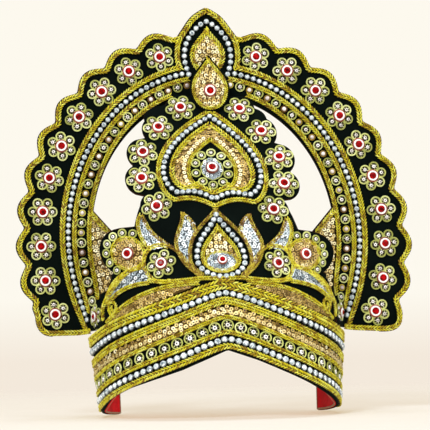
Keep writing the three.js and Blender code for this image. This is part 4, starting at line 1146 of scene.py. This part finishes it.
def spray(name, side):
    def sewn(points):
        points = np.asarray(points, float)
        u = points[..., 0] + np.interp(points[..., 0], *np.transpose(SPRAY_SET[side]))
        return np.stack([side * u, points[..., 1]], -1)

    heap = Heap(panel, "spray_work_" + name, "sequin_work", "spray_" + name)
    middle = sewn(SPRAY)
    disc(heap, *middle, *DISC, base=0.5, rise=1.2)
    braid(heap, oval(*middle, *DISC_BRAID)[:-1], width=2.8, height=1.9, closed=True)
    stone(heap, middle, 1.5, 0.95)
    angle = np.radians(DISC_STUDS["first"] + DISC_STUDS["step"] * np.arange(DISC_STUDS["count"]))
    round_disc = np.stack([side * DISC_STUDS["across"] * np.cos(angle), DISC_STUDS["up"] * np.sin(angle)], -1)
    heap.sew(wire_petal(3.1), middle + round_disc, 0.2, angle, tip=6.0)
    braid(heap, sewn(oval(*FLOWER_RING, *FLOWER_RING_ARC)), width=3.0, height=1.8)
    heap.sew(flower_shape(), [sewn(FLOWER_RING)], 0.4, 0.3, size=0.98)
    cord, outer = sewn(catmull(LONG_CORD)), sewn(bezier(PETAL_OUTER, 32))
    field(heap, cord[:34], outer, tone="silver", pitch=2.8, glint_share=0.2)
    braid(heap, cord, width=2.8, height=1.7, look="zari_brown")
    braid(heap, outer, width=2.8, height=1.7)
    top, foot = bezier(LEAF_TOP, 30), bezier(LEAF_FOOT, 30)
    field(heap, sewn(top), sewn(foot), tone="silver", pitch=2.8, glint_share=0.2)
    braid(heap, sewn(shifted(top, 0.5)), width=3.2)
    braid(heap, sewn(np.vstack([catmull(FOOT_CORD)[::-1], shifted(foot, -0.5)[2:]])), width=3.0)
    braid(heap, sewn(catmull(EDGE_BRAID)), width=3.6)
    start, end = CRESCENT["start"], CRESCENT["end"]
    along = np.linspace(start, end, CRESCENT["count"])
    low = row_height(*BAND_TOP, along) + CRESCENT["off"]
    rise = CRESCENT["edge"] + CRESCENT["high"] * np.sin(math.pi * (along - start) / (end - start))
    foot, crescent = np.stack([along, low - 0.3], -1), np.stack([along, low + rise], -1)
    field(heap, sewn(foot[3:-3]), sewn(crescent[3:-3] - (0, 1.2)), pitch=2.6, size=0.98, top=0.7)
    braid(heap, sewn(crescent - (0.0, 0.4)), width=3.0)
    turn, reach = [np.linspace(*SCROLL[part], SCROLL["count"]) for part in ("turn", "reach")]
    coil = SCROLL["middle"] + reach[:, None] * np.stack([np.cos(turn), np.sin(turn)], -1)
    braid(heap, sewn(coil), width=2.6, height=1.7)


# Band

# Height at the front and slope of each sewn row
ROWS = dict(
    upper=(87.6, 0.305), upper_chain=(82.1, 0.316), middle=(66.9, 0.34), lower_chain=(51.7, 0.347),
    lower=(46.9, 0.347),
)
ROW_GAP, ROW_POINTS = 5.0, 400
BAND_STONES = dict(pitch=4.7, size=1.12, grow=0.28, depth=-0.2)


def band_row(part, off=0.0):
    z, slope = ROWS[part]
    level = row_height(z, slope, REAR_U)
    u = np.linspace(ROW_GAP - band_end(level, -1), band_end(level, 1) - ROW_GAP, ROW_POINTS)
    return np.stack([u, row_height(z, slope, u) + off], -1)


def band_trim():
    heap = Heap(panel, "band_upper_plait", "zari_braid", "band_upper_braid")
    braid(heap, band_row("upper"), width=7.1, strands_and_gap_shade=3)
    heap = Heap(panel, "band_upper_chain", "stone_chain", "band_upper_stone_chain")
    chain(heap, band_row("upper_chain"), **BAND_STONES)
    heap = Heap(panel, "band_middle_work", "sequin_work", "band_middle_braid")
    braid(heap, band_row("middle", 9.9), width=5.4, strands_and_gap_shade=3)
    field(heap, band_row("middle", 0.7), band_row("middle", 7.0), pitch=3.0)
    spots, turn = resample(band_row("middle", 2.6), 3.9, inset=3.0)
    heap.sew(sequin("sequin_gold"), spots, 1.1, turn, tip=16.0, tone=0.84)
    braid(heap, band_row("middle", -1.0), width=2.8)
    spots, turn = spread(band_row("middle", -6.1), 8.7, 0.3)
    heap.sew(wire_petal(4.15, 0.5, 1.6), spots, 0.2, turn, tip=5.0)
    braid(heap, band_row("middle", -10.9), width=3.4)
    heap = Heap(panel, "band_lower_chain", "stone_chain", "band_lower_stone_chain")
    chain(heap, band_row("lower_chain"), **BAND_STONES)
    heap = Heap(panel, "band_lower_plait", "zari_braid", "band_lower_braid")
    braid(heap, band_row("lower"), width=4.0)


# Scene

EYE, TARGET, ROLL = (-104.33, -1202.47, 55.0), (0.0, -10.0, 139.5), -1.1
# The world's cream, and the beige band at its horizon, a painted soft shadow of the crown on the floor.
CREAM, FLOOR_SHADOW_BAND = (0.982, 0.947, 0.855), (0.9, 0.815, 0.71)
FLOOR_RINGS, FLOOR_SIDES = (0.001, 0.3, 0.8), 64
# Place, target, size and power of each lamp, in metres and watts
LAMPS = dict(
    key=((-0.8, -1.5, 1.3), (0, 0, 0.14), 0.7, 36.0),
    fill=((1.1, -1.4, 0.5), (0, 0, 0.14), 0.6, 14.0),
    top=((0.1, 0.1, 1.7), (0, 0, 0.0), 1.0, 16.0),
)


def placed(name, data):
    thing = bpy.data.objects.new(name, data)
    bpy.context.scene.collection.objects.link(thing)
    return thing


def make_camera():
    data = bpy.data.cameras.new("camera")
    data.lens, data.sensor_width, data.sensor_fit = 143.5, 36.0, "HORIZONTAL"
    data.shift_y = -1.0 / 430.0
    data.clip_start, data.clip_end = 0.05, 50.0
    camera = placed("camera", data)
    eye, target = [Vector((x, HALO_FACE + y, z)) * MM for x, y, z in (EYE, TARGET)]
    gaze = (target - eye).to_track_quat("-Z", "Y").to_matrix().to_4x4()
    camera.matrix_world = Matrix.Translation(eye) @ gaze @ Matrix.Rotation(math.radians(ROLL), 4, "Z")
    bpy.context.scene.camera = camera


def make_lamps():
    for name, (place, target, size, power) in LAMPS.items():
        data = bpy.data.lights.new(name, "AREA")
        data.shape, data.size, data.energy = "DISK", size, power
        lamp = placed(name, data)
        lamp.location = place
        lamp.rotation_euler = (Vector(target) - Vector(place)).to_track_quat("-Z", "Y").to_euler()


def make_world():
    """A cream world, with a darker beige band at the horizon painted as the crown's soft shadow on the floor,
    and brighter to look at than to be lit by.
    """
    world = bpy.data.worlds.new("studio")
    n = Nodes(world, "Background")
    height = n.new("SeparateXYZ", "Z", {"Vector": n.new("TexCoord", "Generated", {})})
    level = n.new("MapRange", "Result", {"Value": height, "From Min": -0.08, "From Max": 0.04})
    n.set(Color=n.ramp(level, (0.25, *CREAM), (0.42, *FLOOR_SHADOW_BAND), (0.55, *FLOOR_SHADOW_BAND), (0.85, *CREAM)))
    seen = n.new("LightPath", "Is Camera Ray", {})
    n.set(Strength=n.new("MapRange", "Result", {"Value": seen, "To Min": 0.5, "To Max": 1.0}))
    bpy.context.scene.world = world
    bpy.context.scene.view_settings.view_transform = "Standard"


def make_floor():
    """A paper floor that fades into the world, glowing warm over a bluish base: painted warm bounce light
    that lifts and warms its shadows.
    """
    n = Nodes(bpy.data.materials.new("paper"), Roughness=0.9, Specular_IOR_Level=0.1)
    # The warm glow and the bluish base paint warm bounce light into the floor's shadows.
    n.set(Emission_Color=(0.53, 0.39, 0.22), Emission_Strength=1.0)
    n.set(Base_Color=n.ramp(n.noise(40.0, 4.0), (0.2, 0.285, 0.337, 0.39), (0.8, 0.305, 0.357, 0.41)))
    span = n.new("VectorMath", "Value", {0: n.place()}, operation="LENGTH")
    n.set(Alpha=n.grey(span, (0.2, 1.0), (0.72, 0.0)))
    angle = around(FLOOR_SIDES)
    rings = [np.stack([r * np.cos(angle), r * np.sin(angle), 0 * angle], -1) for r in FLOOR_RINGS]
    i, j = np.arange(FLOOR_SIDES), (np.arange(FLOOR_SIDES) + 1) % FLOOR_SIDES
    ring = np.stack([i, FLOOR_SIDES + i, FLOOR_SIDES + j, j], -1)
    mesh = bpy.data.meshes.new("floor")
    mesh.from_pydata(np.vstack(rings).tolist(), [], np.vstack([ring, ring + FLOOR_SIDES]).tolist())
    mesh.materials.append(n.owner)
    placed("floor", mesh)


make_looks()
make_camera()
make_lamps()
make_world()
make_floor()
halo_board()
front_panel()
band_boards()
halo_trim()
ring_studs()
finial_trim()
medallion_trim()
lotus_trim()
for spray_name, spray_side in SIDES:
    spray(spray_name, spray_side)
band_trim()
for made in HEAPS:
    made.make()
